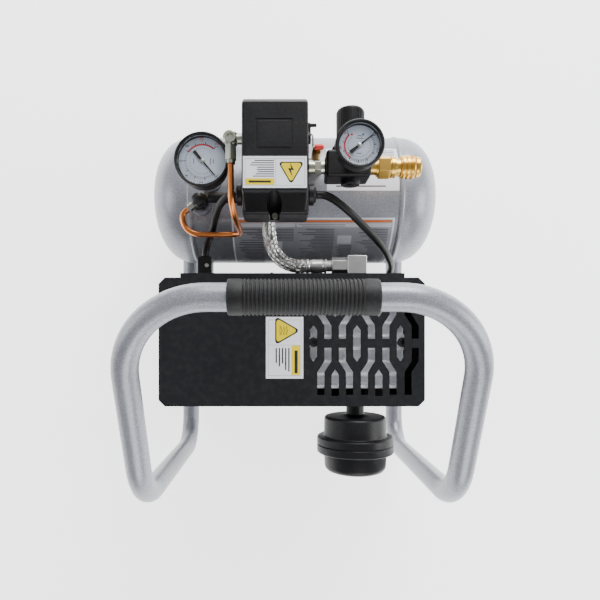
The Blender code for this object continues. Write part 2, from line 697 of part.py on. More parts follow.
def build_discharge():
    x, y, z = ELBOW
    elbow = block((x - 0.0102, y - 0.0105, z - 0.0100), (x + 0.0102, y + 0.0105, z + 0.0100))
    leg = rod("Y", (x, 0, z), y, PUMP_Y - HEAD_HALF_Y - GAP, 0.0062, 12)
    finish_part("discharge_elbow", "steel", elbow, add=[leg])
    start = x + 0.0102 + GAP
    nut = rod("X", (0, y, z), start, start + 0.0155, 0.0098, 6)
    neck = rod("X", (0, y, z), start + 0.010, start + 0.024, 0.0060, 12)
    ferrule = rod("X", (0, y, z), start + 0.0235, -0.0105, 0.0074, 12)
    finish_part("hose_nut", "steel", nut, add=[neck, ferrule])
    hose = ((-0.0105 + GAP, y, z), (0.0010, y, z), (0.0130, y - 0.0042, z), (0.0215, y - 0.0120, z),
            (0.0268, y - 0.0225, z), (0.0290, y - 0.0350, z), (SWIVEL_X, y - 0.0460, AIR_LINE_Z),
            (SWIVEL_X, y - 0.0520, AIR_LINE_Z))
    add_cord("discharge_hose", "braid", hose, HOSE_RADIUS, 2)
    line_y = CHECK_VALVE[1] - 0.003
    end = y - 0.0520 - GAP
    swivel = rod("Y", (SWIVEL_X, 0, AIR_LINE_Z), line_y, end, 0.0080, 6)
    line = rod("X", (0, line_y, AIR_LINE_Z), PIPE_START_X, CHECK_VALVE[0] - 0.0105, PIPE_RADIUS, 12)
    finish_part("discharge_pipe", "black_sheet", line, add=[swivel])


def build_check_valve():
    x, y = CHECK_VALVE
    profile = ((0.175, 0), (0.175, 0.0075), (0.188, 0.0075), (0.188, 0.0098), (0.206, 0.0098),
               (0.208, 0.0075), (0.208, 0))
    body = turned("Z", (x, y, 0), profile, 12)
    port = rod("Z", (0, 0, 0), 0, 0.0138, 0.0048, 6)
    turn = Vector((0, 0, 1)).rotation_difference(Vector((0.78, 0.62, 0))).to_matrix().to_4x4()
    port.data.transform(Matrix.Translation((x, y, 0.197)) @ turn)
    finish_part("check_valve_body", "steel", body, add=[port], cut=[tank_cutter()])


def build_unloader():
    x, y, z = UNLOADER
    stem = rod("X", (0, y, z), SWITCH_X + SWITCH_HALF_X + GAP, x + 0.004, 0.0055, 12)
    valve = turned("Z", (x, y, 0), ((z - 0.008, 0), (z - 0.008, 0.0065), (z + 0.004, 0.0075),
                                    (z + 0.007, 0.0055), (z + 0.007, 0)), 12)
    nut = rod("Y", (x, 0, z), y, -0.1225, 0.0058, 6)
    finish_part("unloader_valve", "zinc", stem, add=[valve, nut])
    route = ((x, -0.1225 + GAP, z), (x, -0.1050, z), (x - 0.0004, -0.0900, 0.2670),
             (x - 0.0018, -0.0790, 0.2580), (x - 0.0032, -0.0735, 0.2400), (x - 0.0042, -0.0710, 0.2200),
             (x - 0.0036, -0.0695, 0.2060), (x + 0.0030, -0.0690, 0.1995), (0.0800, -0.0690, 0.1985),
             (0.0960, -0.0690, 0.1980), (0.1080, -0.0700, 0.1975), (0.1170, -0.0745, 0.1972),
             (0.1218, -0.0820, 0.1970), (0.1226, -0.0890, 0.1970), (0.1205, -0.0935, 0.1970),
             (0.1172, -0.0963, 0.1970))
    add_cord("unloader_tube", "copper", route, COPPER_RADIUS, 2)


def build_switch():
    half = SWITCH_HALF_X
    riser = turned("Z", (SWITCH_X, TANK_Y - 0.008, 0), ((0.180, 0), (0.180, 0.0095), (0.192, 0.0095),
                                                (0.192, 0.0125), (SWITCH_BASE_Z - GAP, 0.0125),
                                                (SWITCH_BASE_Z - GAP, 0)), 12)
    finish_part("switch_riser", "zinc", riser, cut=[tank_cutter()])
    base = block((SWITCH_X - SWITCH_BASE_HALF_X, SWITCH_FRONT_Y + 0.004, SWITCH_BASE_Z),
                 (SWITCH_X + SWITCH_BASE_HALF_X, SWITCH_BASE_REAR_Y, SWITCH_SPLIT_Z - GAP))
    well = rod("Z", (*SWITCH_SCREW, 0), SWITCH_SCREW_Z, SWITCH_TOP_Z + 0.01, SWITCH_SCREW_WELL, 16)
    finish_part("switch_base", "black_plastic", base, cut=[well])
    side = ((SWITCH_FRONT_Y + 0.001, SWITCH_SPLIT_Z), (SWITCH_REAR_Y, SWITCH_SPLIT_Z),
            (SWITCH_REAR_Y - 0.0100, SWITCH_TOP_Z - 0.001), (SWITCH_REAR_Y - 0.0125, SWITCH_TOP_Z),
            (SWITCH_FRONT_Y + 0.004, SWITCH_TOP_Z), (SWITCH_FRONT_Y, SWITCH_TOP_Z - 0.004))
    cover = prism("X", side, SWITCH_X - half, SWITCH_X + half)
    notch = rod("Z", (*SWITCH_SCREW, 0), SWITCH_SCREW_Z, SWITCH_TOP_Z + 0.01, SWITCH_SCREW_WELL, 16)
    inside = block((SWITCH_X - half + 0.0025, SWITCH_FRONT_Y + 0.0035, SWITCH_SPLIT_Z - 0.01),
                   (SWITCH_X + half - 0.0025, SWITCH_REAR_Y - 0.0200, SWITCH_TOP_Z - 0.0025))
    finish_part("switch_cover", "black_plastic", cover, cut=[notch, inside])
    wall = SWITCH_X - half - GAP
    disc = rod("X", (0, LEVER_Y, LEVER_Z), wall - 0.003, wall, 0.0055, 12)
    arm = block((wall - 0.003, LEVER_Y - 0.014, LEVER_Z - 0.0018), (wall, LEVER_Y, LEVER_Z + 0.0018))
    pin = rod("X", (0, LEVER_Y - 0.012, LEVER_Z), wall - 0.0085, wall - 0.002, 0.0017, 8)
    set_pivot(finish_part("switch_lever", "black_plastic", disc, add=[arm, pin]),
              (wall, LEVER_Y, LEVER_Z))


def build_glands():
    wall = SWITCH_BASE_HALF_X + GAP
    for name, side, length in (("motor_gland", -1, MOTOR_GLAND_LENGTH),
                               ("supply_gland", 1, SUPPLY_GLAND_LENGTH)):
        near = SWITCH_X + side * wall
        nut = rod("X", (0, GLAND_Y, GLAND_Z), near, near + side * 0.0050, 0.0110, 12)
        nose = rod("X", (0, GLAND_Y, GLAND_Z), near, near + side * length, 0.0075, 12)
        finish_part(name, "black_plastic", nut, add=[nose])


def build_leads():
    wall = SWITCH_BASE_HALF_X + GAP
    start_x = SWITCH_X - wall - MOTOR_GLAND_LENGTH - GAP
    right = ((start_x, GLAND_Y, GLAND_Z), (start_x - 0.0050, GLAND_Y, GLAND_Z),
             (-0.0310, -0.0996, 0.2378), (-0.0400, -0.0945, 0.2370),
             (-0.0520, -0.0862, 0.2325), (-0.0649, -0.0771, 0.2220), (-0.0834, -0.0640, 0.2050),
             (-0.0980, -0.0540, 0.1850), (-0.1070, -0.0475, 0.1650), (-0.1130, -0.0435, 0.1470),
             (-0.1158, -0.0410, 0.1320), (-0.1163, -0.0372, 0.1230), (-0.1163, -0.0328, 0.1186),
             (-0.1163, -0.0275, 0.1180))
    add_cord("motor_lead", "rubber", right, LEAD_RADIUS, 2)
    start_x = SWITCH_X + wall + SUPPLY_GLAND_LENGTH + GAP
    left = ((start_x, GLAND_Y, GLAND_Z), (start_x + 0.0045, GLAND_Y, GLAND_Z - 0.0002),
            (0.0728, -0.0992, 0.2320), (0.0800, -0.0945, 0.2220),
            (0.0860, -0.0870, 0.2070), (0.0905, -0.0790, 0.1920), (0.0940, -0.0700, 0.1840),
            (0.0975, -0.0610, 0.1850), (0.0988, -0.0525, 0.1886), (0.0990, -0.0463, 0.1890))
    add_cord("supply_lead", "rubber", left, LEAD_RADIUS, 2)
    grommet = turned("Y", (-0.1163, 0, 0.118), ((-0.0269, 0), (-0.0269, 0.0052), (-0.0225, 0.0066),
                                               (-0.0198, 0.0066), (-0.0198, 0.0047), (-0.0150, 0.0047),
                                               (-0.0150, 0)), 12)
    finish_part("cover_grommet", "rubber", grommet)
    lip = COVER_FRONT_Y - LIP_DEPTH - GAP
    clamp = block((0.0912, -0.0457, 0.1800), (0.1068, lip, 0.1975))
    ears = block((0.0872, lip - 0.004, 0.1840), (0.1108, lip, 0.1940))
    spigot = rod("Y", (0.099, 0, 0.189), lip - 0.004, -0.0150, 0.0055, 12)
    finish_part("lead_clamp", "black_plastic", clamp, add=[ears, spigot])


# --------------------------------------------------------- regulator and gauges

def build_gauge(label, centre, radius, depth, stem_bottom, pointer_turn):
    """A dial gauge facing up: cup with stem, dial, pointer and lens."""
    x, y, face = centre
    back = face - depth
    floor = back + 0.004
    spot = (x, y, 0)
    cup = ((stem_bottom, 0), (stem_bottom, 0.0052), (back, 0.0052), (back, radius - 0.002),
           (face - 0.006, radius - 0.0015), (face - 0.006, radius), (face, radius),
           (face, radius - 0.0028), (floor, radius - 0.0032), (floor, 0))
    case = turned("Z", spot, cup, 20)
    nut = rod("Z", spot, stem_bottom + 0.004, back + 0.001, 0.0080, 6)
    cut = [tank_cutter()] if stem_bottom < TANK_TOP_Z else []
    finish_part(label + "_case", "black_plastic", case, add=[nut], cut=cut)
    dial_top = face - 0.0075
    finish_part(label + "_dial", "dial_white",
                rod("Z", spot, dial_top - 0.0012, dial_top, radius - 0.0036, 20))
    finish_part(label + "_lens", "clear_lens",
                rod("Z", spot, face - 0.0024, face - 0.0008, radius - 0.0034, 20))
    low = dial_top + 0.0008
    high = low + 0.0008
    hub = rod("Z", spot, low, high + 0.0010, 0.0026, 12)
    reach = radius * 0.70
    outline = ((0.0, -0.0005), (reach, -0.0002), (reach, 0.0002), (0.0, 0.0005), (-0.008, 0.0014),
               (-0.008, -0.0014))
    turn = math.radians(pointer_turn)
    turned_outline = [(x + a * math.cos(turn) - b * math.sin(turn),
                       y + a * math.sin(turn) + b * math.cos(turn)) for a, b in outline]
    pointer = prism("Z", turned_outline, low, high)
    set_pivot(finish_part(label + "_needle", "black_plastic", hub, add=[pointer]), (x, y, low))


def build_gauges():
    build_gauge("tank_gauge", TANK_GAUGE, TANK_GAUGE_RADIUS, 0.024, TANK_TOP_Z - 0.006, 131)
    build_gauge("regulator_gauge", REG_GAUGE, REG_GAUGE_RADIUS, 0.021, 0.2585 + GAP, -142)


def build_regulator():
    x, y, z = REGULATOR_X, REGULATOR_Y, REGULATOR_Z
    body = block((x - 0.0186, -0.1410, z - 0.0160), (x + 0.0250, -0.1150, z + 0.0160))
    bonnet = rod("Y", (x, 0, z), -0.1510, -0.1400, 0.0165, 16)
    plug = rod("Y", (x, 0, z), -0.1160, -0.1100, 0.0095, 12)
    boss = rod("Z", (x, y, 0), z + 0.012, 0.2585, 0.0080, 12)
    finish_part("regulator_body", "black_plastic", body, add=[bonnet, plug, boss])
    ring = pipe("Y", (x, 0, z), -0.1545, -0.1510 - GAP, 0.0150, 0.0105, 16)
    finish_part("regulator_lock_ring", "red_plastic", ring)
    knob = turned("Y", (x, 0, z), ((-0.1855, 0), (-0.1855, 0.0125), (-0.1838, 0.0140),
                                   (-0.1560, 0.0140), (-0.1548, 0.0130), (-0.1548, 0)), 20)
    set_pivot(finish_part("regulator_knob", "black_plastic", knob), (x, -0.1548, z))
    finish_part("outlet_nipple", "zinc",
                rod("X", (0, COUPLER_Y, z), x + 0.0250 + GAP, SWITCH_X - SWITCH_BASE_HALF_X - GAP,
                    0.00685, 12))


def build_coupler():
    """Quick-connect socket: hexagon, plain barrel and a sprung sleeve over the nose."""
    spot = (0, COUPLER_Y, REGULATOR_Z)
    start = REGULATOR_X - 0.0186 - GAP
    profile = ((start, 0), (start, 0.0075), (-0.0915, 0.0075), (-0.0915, 0.0104), (-0.0970, 0.0104),
               (-0.0970, 0.0086), (-0.1165, 0.0086), (-0.1165, 0.0098), (-0.1217, 0.0094),
               (-0.1217, 0.0056), (-0.0960, 0.0056), (-0.0960, 0))
    body = turned("X", spot, profile, 16)
    hexagon = rod("X", spot, -0.0912, -0.0794, 0.0118, 6)
    finish_part("coupler_body", "brass", body, add=[hexagon])
    sleeve = turned("X", spot, ((-0.1160, 0.0108), (-0.1140, 0.0113), (-0.1030, 0.0113),
                                (-0.1015, 0.0106), (-0.1015, 0.0090), (-0.1160, 0.0090)), 16)
    set_pivot(finish_part("coupler_sleeve", "brass", sleeve), (-0.1160, COUPLER_Y, REGULATOR_Z))


def build_safety_valve():
    x, y = SAFETY_VALVE
    profile = ((0.172, 0), (0.172, 0.0055), (0.190, 0.0055), (0.190, 0.0066), (0.200, 0.0066),
               (0.200, 0.0052), (0.240, 0.0052), (0.2440, 0.0035), (0.2440, 0))
    finish_part("safety_valve_body", "brass", turned("Z", (x, y, 0), profile, 12), cut=[tank_cutter()])
    cap = turned("Z", (x, y, 0), ((0.2443, 0), (0.2443, 0.0040), (0.2515, 0.0040), (0.2530, 0.0028),
                                  (0.2530, 0)), 12)
    set_pivot(finish_part("safety_valve_pull", "red_plastic", cap), (x, y, 0.2443))


def main():
    clear_scene()
    for name, (color, roughness, metallic) in FINISHES.items():
        MATERIALS[name] = make_material(name, color, roughness, metallic)
    build_frame()
    build_grip()
    build_feet()
    build_tank()
    build_saddles()
    build_drain()
    build_tray()
    build_cover()
    build_crankcase()
    build_motor()
    build_fan()
    build_rod()
    build_cylinder()
    build_head()
    build_capacitor()
    build_filter()
    build_discharge()
    build_check_valve()
    build_unloader()
    build_switch()
    build_glands()
    build_leads()
    build_gauges()
    build_regulator()
    build_coupler()
    build_safety_valve()


main()
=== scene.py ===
import math

import bmesh
import bpy
from mathutils import Matrix, Vector


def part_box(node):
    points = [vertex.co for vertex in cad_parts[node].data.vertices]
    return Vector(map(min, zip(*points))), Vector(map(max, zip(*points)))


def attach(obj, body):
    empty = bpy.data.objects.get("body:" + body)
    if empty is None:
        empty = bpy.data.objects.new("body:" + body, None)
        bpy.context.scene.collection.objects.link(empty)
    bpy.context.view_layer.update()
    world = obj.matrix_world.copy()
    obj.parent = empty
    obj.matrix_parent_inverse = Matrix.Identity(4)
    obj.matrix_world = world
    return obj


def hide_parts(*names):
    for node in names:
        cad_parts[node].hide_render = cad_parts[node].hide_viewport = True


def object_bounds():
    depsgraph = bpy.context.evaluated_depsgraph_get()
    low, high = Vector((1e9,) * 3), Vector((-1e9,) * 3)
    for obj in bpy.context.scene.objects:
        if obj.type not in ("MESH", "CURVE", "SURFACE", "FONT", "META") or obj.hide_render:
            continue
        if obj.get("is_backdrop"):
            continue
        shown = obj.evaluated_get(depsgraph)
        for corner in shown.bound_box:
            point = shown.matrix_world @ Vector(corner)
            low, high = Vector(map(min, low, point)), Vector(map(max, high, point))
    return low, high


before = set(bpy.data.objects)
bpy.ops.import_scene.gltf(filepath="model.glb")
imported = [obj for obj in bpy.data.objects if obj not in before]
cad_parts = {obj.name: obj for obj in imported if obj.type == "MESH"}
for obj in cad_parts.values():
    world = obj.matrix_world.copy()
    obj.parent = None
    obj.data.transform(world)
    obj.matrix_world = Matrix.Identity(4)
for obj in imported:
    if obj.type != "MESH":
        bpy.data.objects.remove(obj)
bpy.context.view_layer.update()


# ----------------------------------------------------------------------------------- studio
# A near-white floor with soft panels in front, behind and at both sides, and a dim even surround.
# The camera looks straight down from a little over arm's length above the tank side.

floor_mesh = bpy.data.meshes.new("studio_floor")
floor_half = 6.0
floor_mesh.from_pydata([(-floor_half, -floor_half, -0.0004), (floor_half, -floor_half, -0.0004),
    (floor_half, floor_half, -0.0004), (-floor_half, floor_half, -0.0004)], [], [(0, 1, 2, 3)])
studio_floor = bpy.data.objects.new("studio_floor", floor_mesh)
bpy.context.scene.collection.objects.link(studio_floor)
floor_white = bpy.data.materials.new("floor_white")
floor_white.use_nodes = True
floor_shader = floor_white.node_tree.nodes["Principled BSDF"]
floor_shader.inputs["Base Color"].default_value = (0.93, 0.93, 0.93, 1)
floor_shader.inputs["Roughness"].default_value = 0.9
floor_shader.inputs["Specular IOR Level"].default_value = 0.1
floor_shader.inputs["Emission Color"].default_value = (1, 1, 1, 1)
floor_shader.inputs["Emission Strength"].default_value = 1.9
floor_mesh.materials.append(floor_white)
studio_floor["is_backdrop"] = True

studio_world = bpy.data.worlds.new("studio_world")
studio_world.use_nodes = True
studio_world.node_tree.nodes["Background"].inputs["Color"].default_value = (0.96, 0.98, 1.0, 1)
studio_world.node_tree.nodes["Background"].inputs["Strength"].default_value = 0.40
bpy.context.scene.world = studio_world

for panel, place, size, power in (("front_panel", (-0.40, -1.60, 1.10), 1.2, 60),
        ("rear_panel", (-0.30, 1.60, 1.10), 1.1, 20), ("left_panel", (1.60, -0.10, 0.85), 0.9, 9),
        ("right_panel", (-1.60, 0.10, 0.85), 0.9, 18)):
    lamp = bpy.data.lights.new(panel, "AREA")
    lamp.size = size
    lamp.energy = power
    lamp_stand = bpy.data.objects.new(panel, lamp)
    lamp_stand.location = place
    lamp_stand.rotation_euler = (Vector((0, 0, 0.1)) - Vector(place)).to_track_quat("-Z", "Y").to_euler()
    bpy.context.scene.collection.objects.link(lamp_stand)

camera_data = bpy.data.cameras.new("camera")
camera_data.sensor_width = 36
camera_data.lens = 31.2
camera_data.shift_x = 0.0333
camera_data.shift_y = 0.055
camera_data.clip_start = 0.02
camera = bpy.data.objects.new("camera", camera_data)
camera.location = (0.0176, 0.0369, 0.758)
camera.rotation_euler = (0, 0, math.pi)
bpy.context.scene.collection.objects.link(camera)
bpy.context.scene.camera = camera


# ------------------------------------------------------------------------------ carry frame
# One steel tube bent six times: a rail, a leg and an arm on each side with the crossbar between.
# It is sprayed with silver metallic paint, and a black plug closes each open end of the rails.

def add_node(tree, kind, inputs=(), out=0, **settings):
    """Adds a node; each of its inputs takes a value or another node's socket. Returns its output."""
    node = tree.nodes.new(kind)
    for name, value in settings.items():
        setattr(node, name, value)
    for place, value in dict(inputs).items():
        if hasattr(value, "is_output"):
            tree.links.new(value, node.inputs[place])
        else:
            node.inputs[place].default_value = value
    return node.outputs[out]


def reckon(tree, operation, *values):
    return add_node(tree, "ShaderNodeMath", enumerate(values), operation=operation)


def tint(tree, factor, first, second, blend="MIX"):
    """A colour mix whose factor and colours are sockets or plain colours."""
    return add_node(tree, "ShaderNodeMix", {0: factor, 6: first, 7: second}, 2, data_type="RGBA",
        blend_type=blend)


def stretch(tree, source, low, high):
    """Stretches a value so that low becomes 0 and high becomes 1, held inside those ends."""
    return add_node(tree, "ShaderNodeMapRange", {"Value": source, "From Min": low, "From Max": high})


def finish_group(name, inputs):
    """A shader group with these inputs that puts out a colour, a roughness and a normal."""
    group = bpy.data.node_groups.new(name, "ShaderNodeTree")
    for label, value in inputs.items():
        kind = "NodeSocketColor" if isinstance(value, tuple) else "NodeSocketFloat"
        group.interface.new_socket(label, in_out="INPUT", socket_type=kind).default_value = (
            (*value, 1) if isinstance(value, tuple) else value)
    for label, kind in (("Color", "NodeSocketColor"), ("Roughness", "NodeSocketFloat"),
            ("Normal", "NodeSocketVector")):
        group.interface.new_socket(label, in_out="OUTPUT", socket_type=kind)
    place = add_node(group, "ShaderNodeTexCoord", out=3)
    facing = add_node(group, "ShaderNodeSeparateXYZ", {0: add_node(group, "ShaderNodeNewGeometry", out=1)}, 2)
    return group, group.nodes.new("NodeGroupInput").outputs, place, facing


def clouds(group, place, scale, detail):
    return add_node(group, "ShaderNodeTexNoise", {"Vector": place, "Scale": scale, "Detail": detail})


def end_finish(group, color, roughness_noise, spread, base, height, strength, distance):
    """Every finish ends alike: its colour, an uneven roughness, and a small bump."""
    out = group.nodes.new("NodeGroupOutput")
    bump = add_node(group, "ShaderNodeBump", {"Height": height, "Strength": strength, "Distance": distance})
    group.links.new(color, out.inputs["Color"])
    group.links.new(reckon(group, "MULTIPLY_ADD", roughness_noise, spread, base), out.inputs["Roughness"])
    group.links.new(bump, out.inputs["Normal"])


# Sprayed coat: flakes or grit in it, the slight orange peel of its surface, soft blotches, and grey
# dust that has settled on what faces up.
coat_group, coat, place, facing = finish_group("sprayed_coat", {
    "Coat Color": (0.5, 0.5, 0.5), "Flake Color": (1.0, 1.0, 1.0), "Flake Share": 0.3, "Flake Scale": 2400.0,
    "Peel Strength": 0.2, "Dust": 0.1, "Base Roughness": 0.4})
cells = add_node(coat_group, "ShaderNodeTexVoronoi", {"Vector": place, "Scale": coat["Flake Scale"]}, 1)
flake = add_node(coat_group, "ShaderNodeSeparateColor", {"Color": cells})
flake_lift = add_node(coat_group, "ShaderNodeSeparateColor", {"Color": cells}, 1)
blotch = clouds(coat_group, place, 22.0, 3.0)
flaked = tint(coat_group, reckon(coat_group, "MULTIPLY", stretch(coat_group, flake, 0.35, 1.0),
    coat["Flake Share"]), coat["Coat Color"], coat["Flake Color"])
blotched = tint(coat_group, stretch(coat_group, blotch, 0.75, 0.25), flaked, (0.86, 0.86, 0.87, 1),
    "MULTIPLY")
settled = reckon(coat_group, "MULTIPLY", stretch(coat_group, facing, 0.35, 1.0),
                 stretch(coat_group, clouds(coat_group, place, 160.0, 6.0), 0.42, 0.72))
dusty = tint(coat_group, reckon(coat_group, "MULTIPLY", settled, coat["Dust"]), blotched,
    (0.42, 0.41, 0.39, 1))
peel = reckon(coat_group, "MULTIPLY_ADD", flake_lift, 0.25, clouds(coat_group, place, 700.0, 2.0))
end_finish(coat_group, dusty, blotch, 0.12, coat["Base Roughness"], peel, coat["Peel Strength"], 0.0003)


def dress(name, group, settings, metallic=0.0, **shader_values):
    """A material whose shader takes colour, roughness and normal from a group with these settings."""
    material = bpy.data.materials.new(name)
    material.use_nodes = True
    nodes, links = material.node_tree.nodes, material.node_tree.links
    shader = nodes["Principled BSDF"]
    shader.inputs["Metallic"].default_value = metallic
    for label, value in shader_values.items():
        shader.inputs[label.replace("_", " ")].default_value = value
    finish = nodes.new("ShaderNodeGroup")
    finish.node_tree = group
    for label, value in settings.items():
        finish.inputs[label].default_value = (*value, 1) if isinstance(value, tuple) else value
    for label, target in (("Color", "Base Color"), ("Roughness", "Roughness"), ("Normal", "Normal")):
        links.new(finish.outputs[label], shader.inputs[target])
    return material


silver_coat = dress("silver_coat", coat_group, {"Coat Color": (0.255, 0.262, 0.295),
    "Flake Color": (0.52, 0.54, 0.60), "Flake Share": 0.45, "Flake Scale": 1500.0, "Peel Strength": 0.22,
    "Dust": 0.03, "Base Roughness": 0.32}, metallic=0.40, Coat_Weight=0.15, Coat_Roughness=0.28)
black_coat = dress("black_coat", coat_group, {"Coat Color": (0.0065, 0.007, 0.009),
    "Flake Color": (0.014, 0.015, 0.018), "Flake Share": 0.20, "Flake Scale": 2200.0,
    "Peel Strength": 0.14, "Dust": 0.015, "Base Roughness": 0.40}, Specular_IOR_Level=0.28)


def shape_from(bm, material):
    """A loose shape from a bmesh, its doubles merged and its faces outward, ready to be gathered."""
    bmesh.ops.remove_doubles(bm, verts=bm.verts, dist=1e-7)
    bmesh.ops.recalc_face_normals(bm, faces=bm.faces)
    mesh = bpy.data.meshes.new("shape")
    bm.to_mesh(mesh)
    bm.free()
    mesh.materials.append(material)
    shape = bpy.data.objects.new("shape", mesh)
    bpy.context.scene.collection.objects.link(shape)
    return shape


def soften(shape, width, steps=2, angle=32):
    """Rounds a shape's hard edges by a small radius."""
    bevel = shape.modifiers.new("soft_edges", "BEVEL")
    bevel.width = width
    bevel.segments = steps
    bevel.limit_method = "ANGLE"
    bevel.angle_limit = math.radians(angle)
    bevel.use_clamp_overlap = True
    return shape


def set_in_place(name, shapes, replaces=(), body="chassis", sharp=34):
    """Gathers shapes into one plain mesh at the origin, which rides on a body and stands for CAD nodes."""
    gathered = bmesh.new()
    materials = []
    view = bpy.context.evaluated_depsgraph_get()
    for shape in shapes:
        mesh = bpy.data.meshes.new_from_object(shape.evaluated_get(view))
        mesh.transform(shape.matrix_world)
        lookup = {}
        for index, material in enumerate(mesh.materials):
            if material not in materials:
                materials.append(material)
            lookup[index] = materials.index(material)
        for polygon in mesh.polygons:
            polygon.material_index = lookup[polygon.material_index]
        gathered.from_mesh(mesh)
        bpy.data.meshes.remove(mesh)
        bpy.data.objects.remove(shape, do_unlink=True)
    mesh = bpy.data.meshes.new(name)
    gathered.to_mesh(mesh)
    gathered.free()
    for material in materials:
        mesh.materials.append(material)
    mesh.shade_smooth()
    mesh.set_sharp_from_angle(angle=math.radians(sharp))
    piece = bpy.data.objects.new(name, mesh)
    bpy.context.scene.collection.objects.link(piece)
    even = piece.modifiers.new("even_shading", "WEIGHTED_NORMAL")
    even.keep_sharp = True
    if replaces:
        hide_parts(*replaces)
    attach(piece, body)
    return piece


def bent_route(corners, bends, steps):
    """A line through the corners, each inner corner rounded to its bend radius."""
    route = [corners[0]]
    for index, bend in enumerate(bends, start=1):
        corner = corners[index]
        back = (corners[index - 1] - corner).normalized()
        ahead = (corners[index + 1] - corner).normalized()
        half = back.angle(ahead) / 2
        centre = corner + (back + ahead).normalized() * bend / math.sin(half)
        first = (corner + back * bend / math.tan(half) - centre).normalized()
        last = (corner + ahead * bend / math.tan(half) - centre).normalized()
        for step in range(steps + 1):
            route.append(centre + first.slerp(last, step / steps) * bend)
    route.append(corners[-1])
    return route


def draw_tube(route, radius, sides, material, radius_at=None):
    """Sweeps a ring along a route with flat ends. The map has u round the ring and v along, in metres."""
    bm = bmesh.new()
    wrap = bm.loops.layers.uv.new("along")
    rings, lengths = [], []
    normal = Vector((0, 0, 1)) if abs((route[1] - route[0]).normalized().z) < 0.9 else Vector((0, 1, 0))
    walked = 0.0
    for index, point in enumerate(route):
        tangent = (route[min(index + 1, len(route) - 1)] - route[max(index - 1, 0)]).normalized()
        normal = (normal - tangent * normal.dot(tangent)).normalized()
        side = tangent.cross(normal)
        walked += (point - route[index - 1]).length if index else 0.0
        lengths.append(walked)
        size = radius_at(walked) if radius_at else radius
        rings.append([bm.verts.new(point + (normal * math.cos(2 * math.pi * k / sides) + side
            * math.sin(2 * math.pi * k / sides)) * size) for k in range(sides)])
    for index in range(len(rings) - 1):
        for k in range(sides):
            after = (k + 1) % sides
            face = bm.faces.new((rings[index][k], rings[index][after], rings[index + 1][after],
                rings[index + 1][k]))
            corners = ((k, index), (k + 1, index), (k + 1, index + 1), (k, index + 1))
            for loop, (around, row) in zip(face.loops, corners):
                loop[wrap].uv = (around / sides * 2 * math.pi * radius, lengths[row])
    bm.faces.new(rings[0])
    bm.faces.new(rings[-1])
    return shape_from(bm, material)


frame_low, frame_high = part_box("frame_tube")
grip_low, grip_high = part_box("handle_grip")
tube_radius = 0.0111
rail_x = frame_high.x - tube_radius
rail_z = frame_low.z + tube_radius
leg_y = frame_high.y - tube_radius
shoulder_z = 0.282
bar_y = (grip_low.y + grip_high.y) / 2
bar_z = (grip_low.z + grip_high.z) / 2
left_side = [Vector((rail_x, frame_low.y, rail_z)), Vector((rail_x, leg_y, rail_z)),
             Vector((rail_x, leg_y, shoulder_z)), Vector((rail_x, bar_y, bar_z))]
right_side = [Vector((-point.x, point.y, point.z)) for point in reversed(left_side)]
frame_route = bent_route(left_side + right_side, (0.040, 0.060, 0.070, 0.070, 0.060, 0.040), 22)
set_in_place("frame_tube_skin", [draw_tube(frame_route, tube_radius, 48, silver_coat)],
    ["frame_tube"])


# Turned shapes: a profile of (along, radius) points spun about an axis, closed on itself.
AXIS_TURNS = {"X": Matrix(((0, 0, 1), (1, 0, 0), (0, 1, 0))), "Y": Matrix(((0, 1, 0), (0, 0, 1), (1, 0, 0))),
              "Z": Matrix.Identity(3)}


def spin_profile(axis, centre, profile, segments, material):
    bm = bmesh.new()
    turn = AXIS_TURNS[axis]
    rings = []
    for along, radius in profile:
        count = 1 if radius == 0 else segments
        rings.append([bm.verts.new(Vector(centre)
            + turn @ Vector((radius * math.cos(2 * math.pi * k / segments),
            radius * math.sin(2 * math.pi * k / segments), along))) for k in range(count)])
    pairs = list(zip(rings, rings[1:]))
    if profile[0][1] > 0 and profile[-1][1] > 0:
        pairs.append((rings[-1], rings[0]))
    for low, high in pairs:
        for k in range(segments):
            corners = []
            for ring, index in ((low, k), (low, k + 1), (high, k + 1), (high, k)):
                corner = ring[index % len(ring)]
                if corner not in corners:
                    corners.append(corner)
            if len(corners) > 2:
                bm.faces.new(corners)
    return shape_from(bm, material)


# Moulding: the fine spark-eroded grain of moulded plastic or rubber, soft shade changes and dust.
mould_group, mould, place, facing = finish_group("moulded_grain", {
    "Mould Color": (0.02, 0.02, 0.02), "Rub Color": (0.1, 0.1, 0.1), "Grain Scale": 1800.0,
    "Grain Strength": 0.25, "Dust": 0.1, "Base Roughness": 0.4})
shade = clouds(mould_group, place, 45.0, 4.0)
rubbed = tint(mould_group, stretch(mould_group, shade, 0.35, 0.95), mould["Mould Color"], mould["Rub Color"])
settled = reckon(mould_group, "MULTIPLY", stretch(mould_group, facing, 0.3, 1.0), mould["Dust"])
specks = reckon(mould_group, "MULTIPLY", settled, stretch(
    mould_group, clouds(mould_group, place, 420.0, 5.0), 0.45, 0.75))
end_finish(mould_group, tint(mould_group, specks, rubbed, (0.38, 0.37, 0.35, 1)), shade, 0.15,
           mould["Base Roughness"], clouds(mould_group, place, mould["Grain Scale"], 3.0),
           mould["Grain Strength"], 0.0002)


def moulded(name, color, rubbed, roughness, grain=0.04, dust=0.0, scale=1800.0, **shader_values):
    """Plastic, rubber, paint or ink: its own colour, and its colour where it is rubbed."""
    return dress(name, mould_group, {"Mould Color": color, "Rub Color": rubbed, "Grain Scale": scale,
        "Grain Strength": grain, "Dust": dust, "Base Roughness": roughness}, **shader_values)


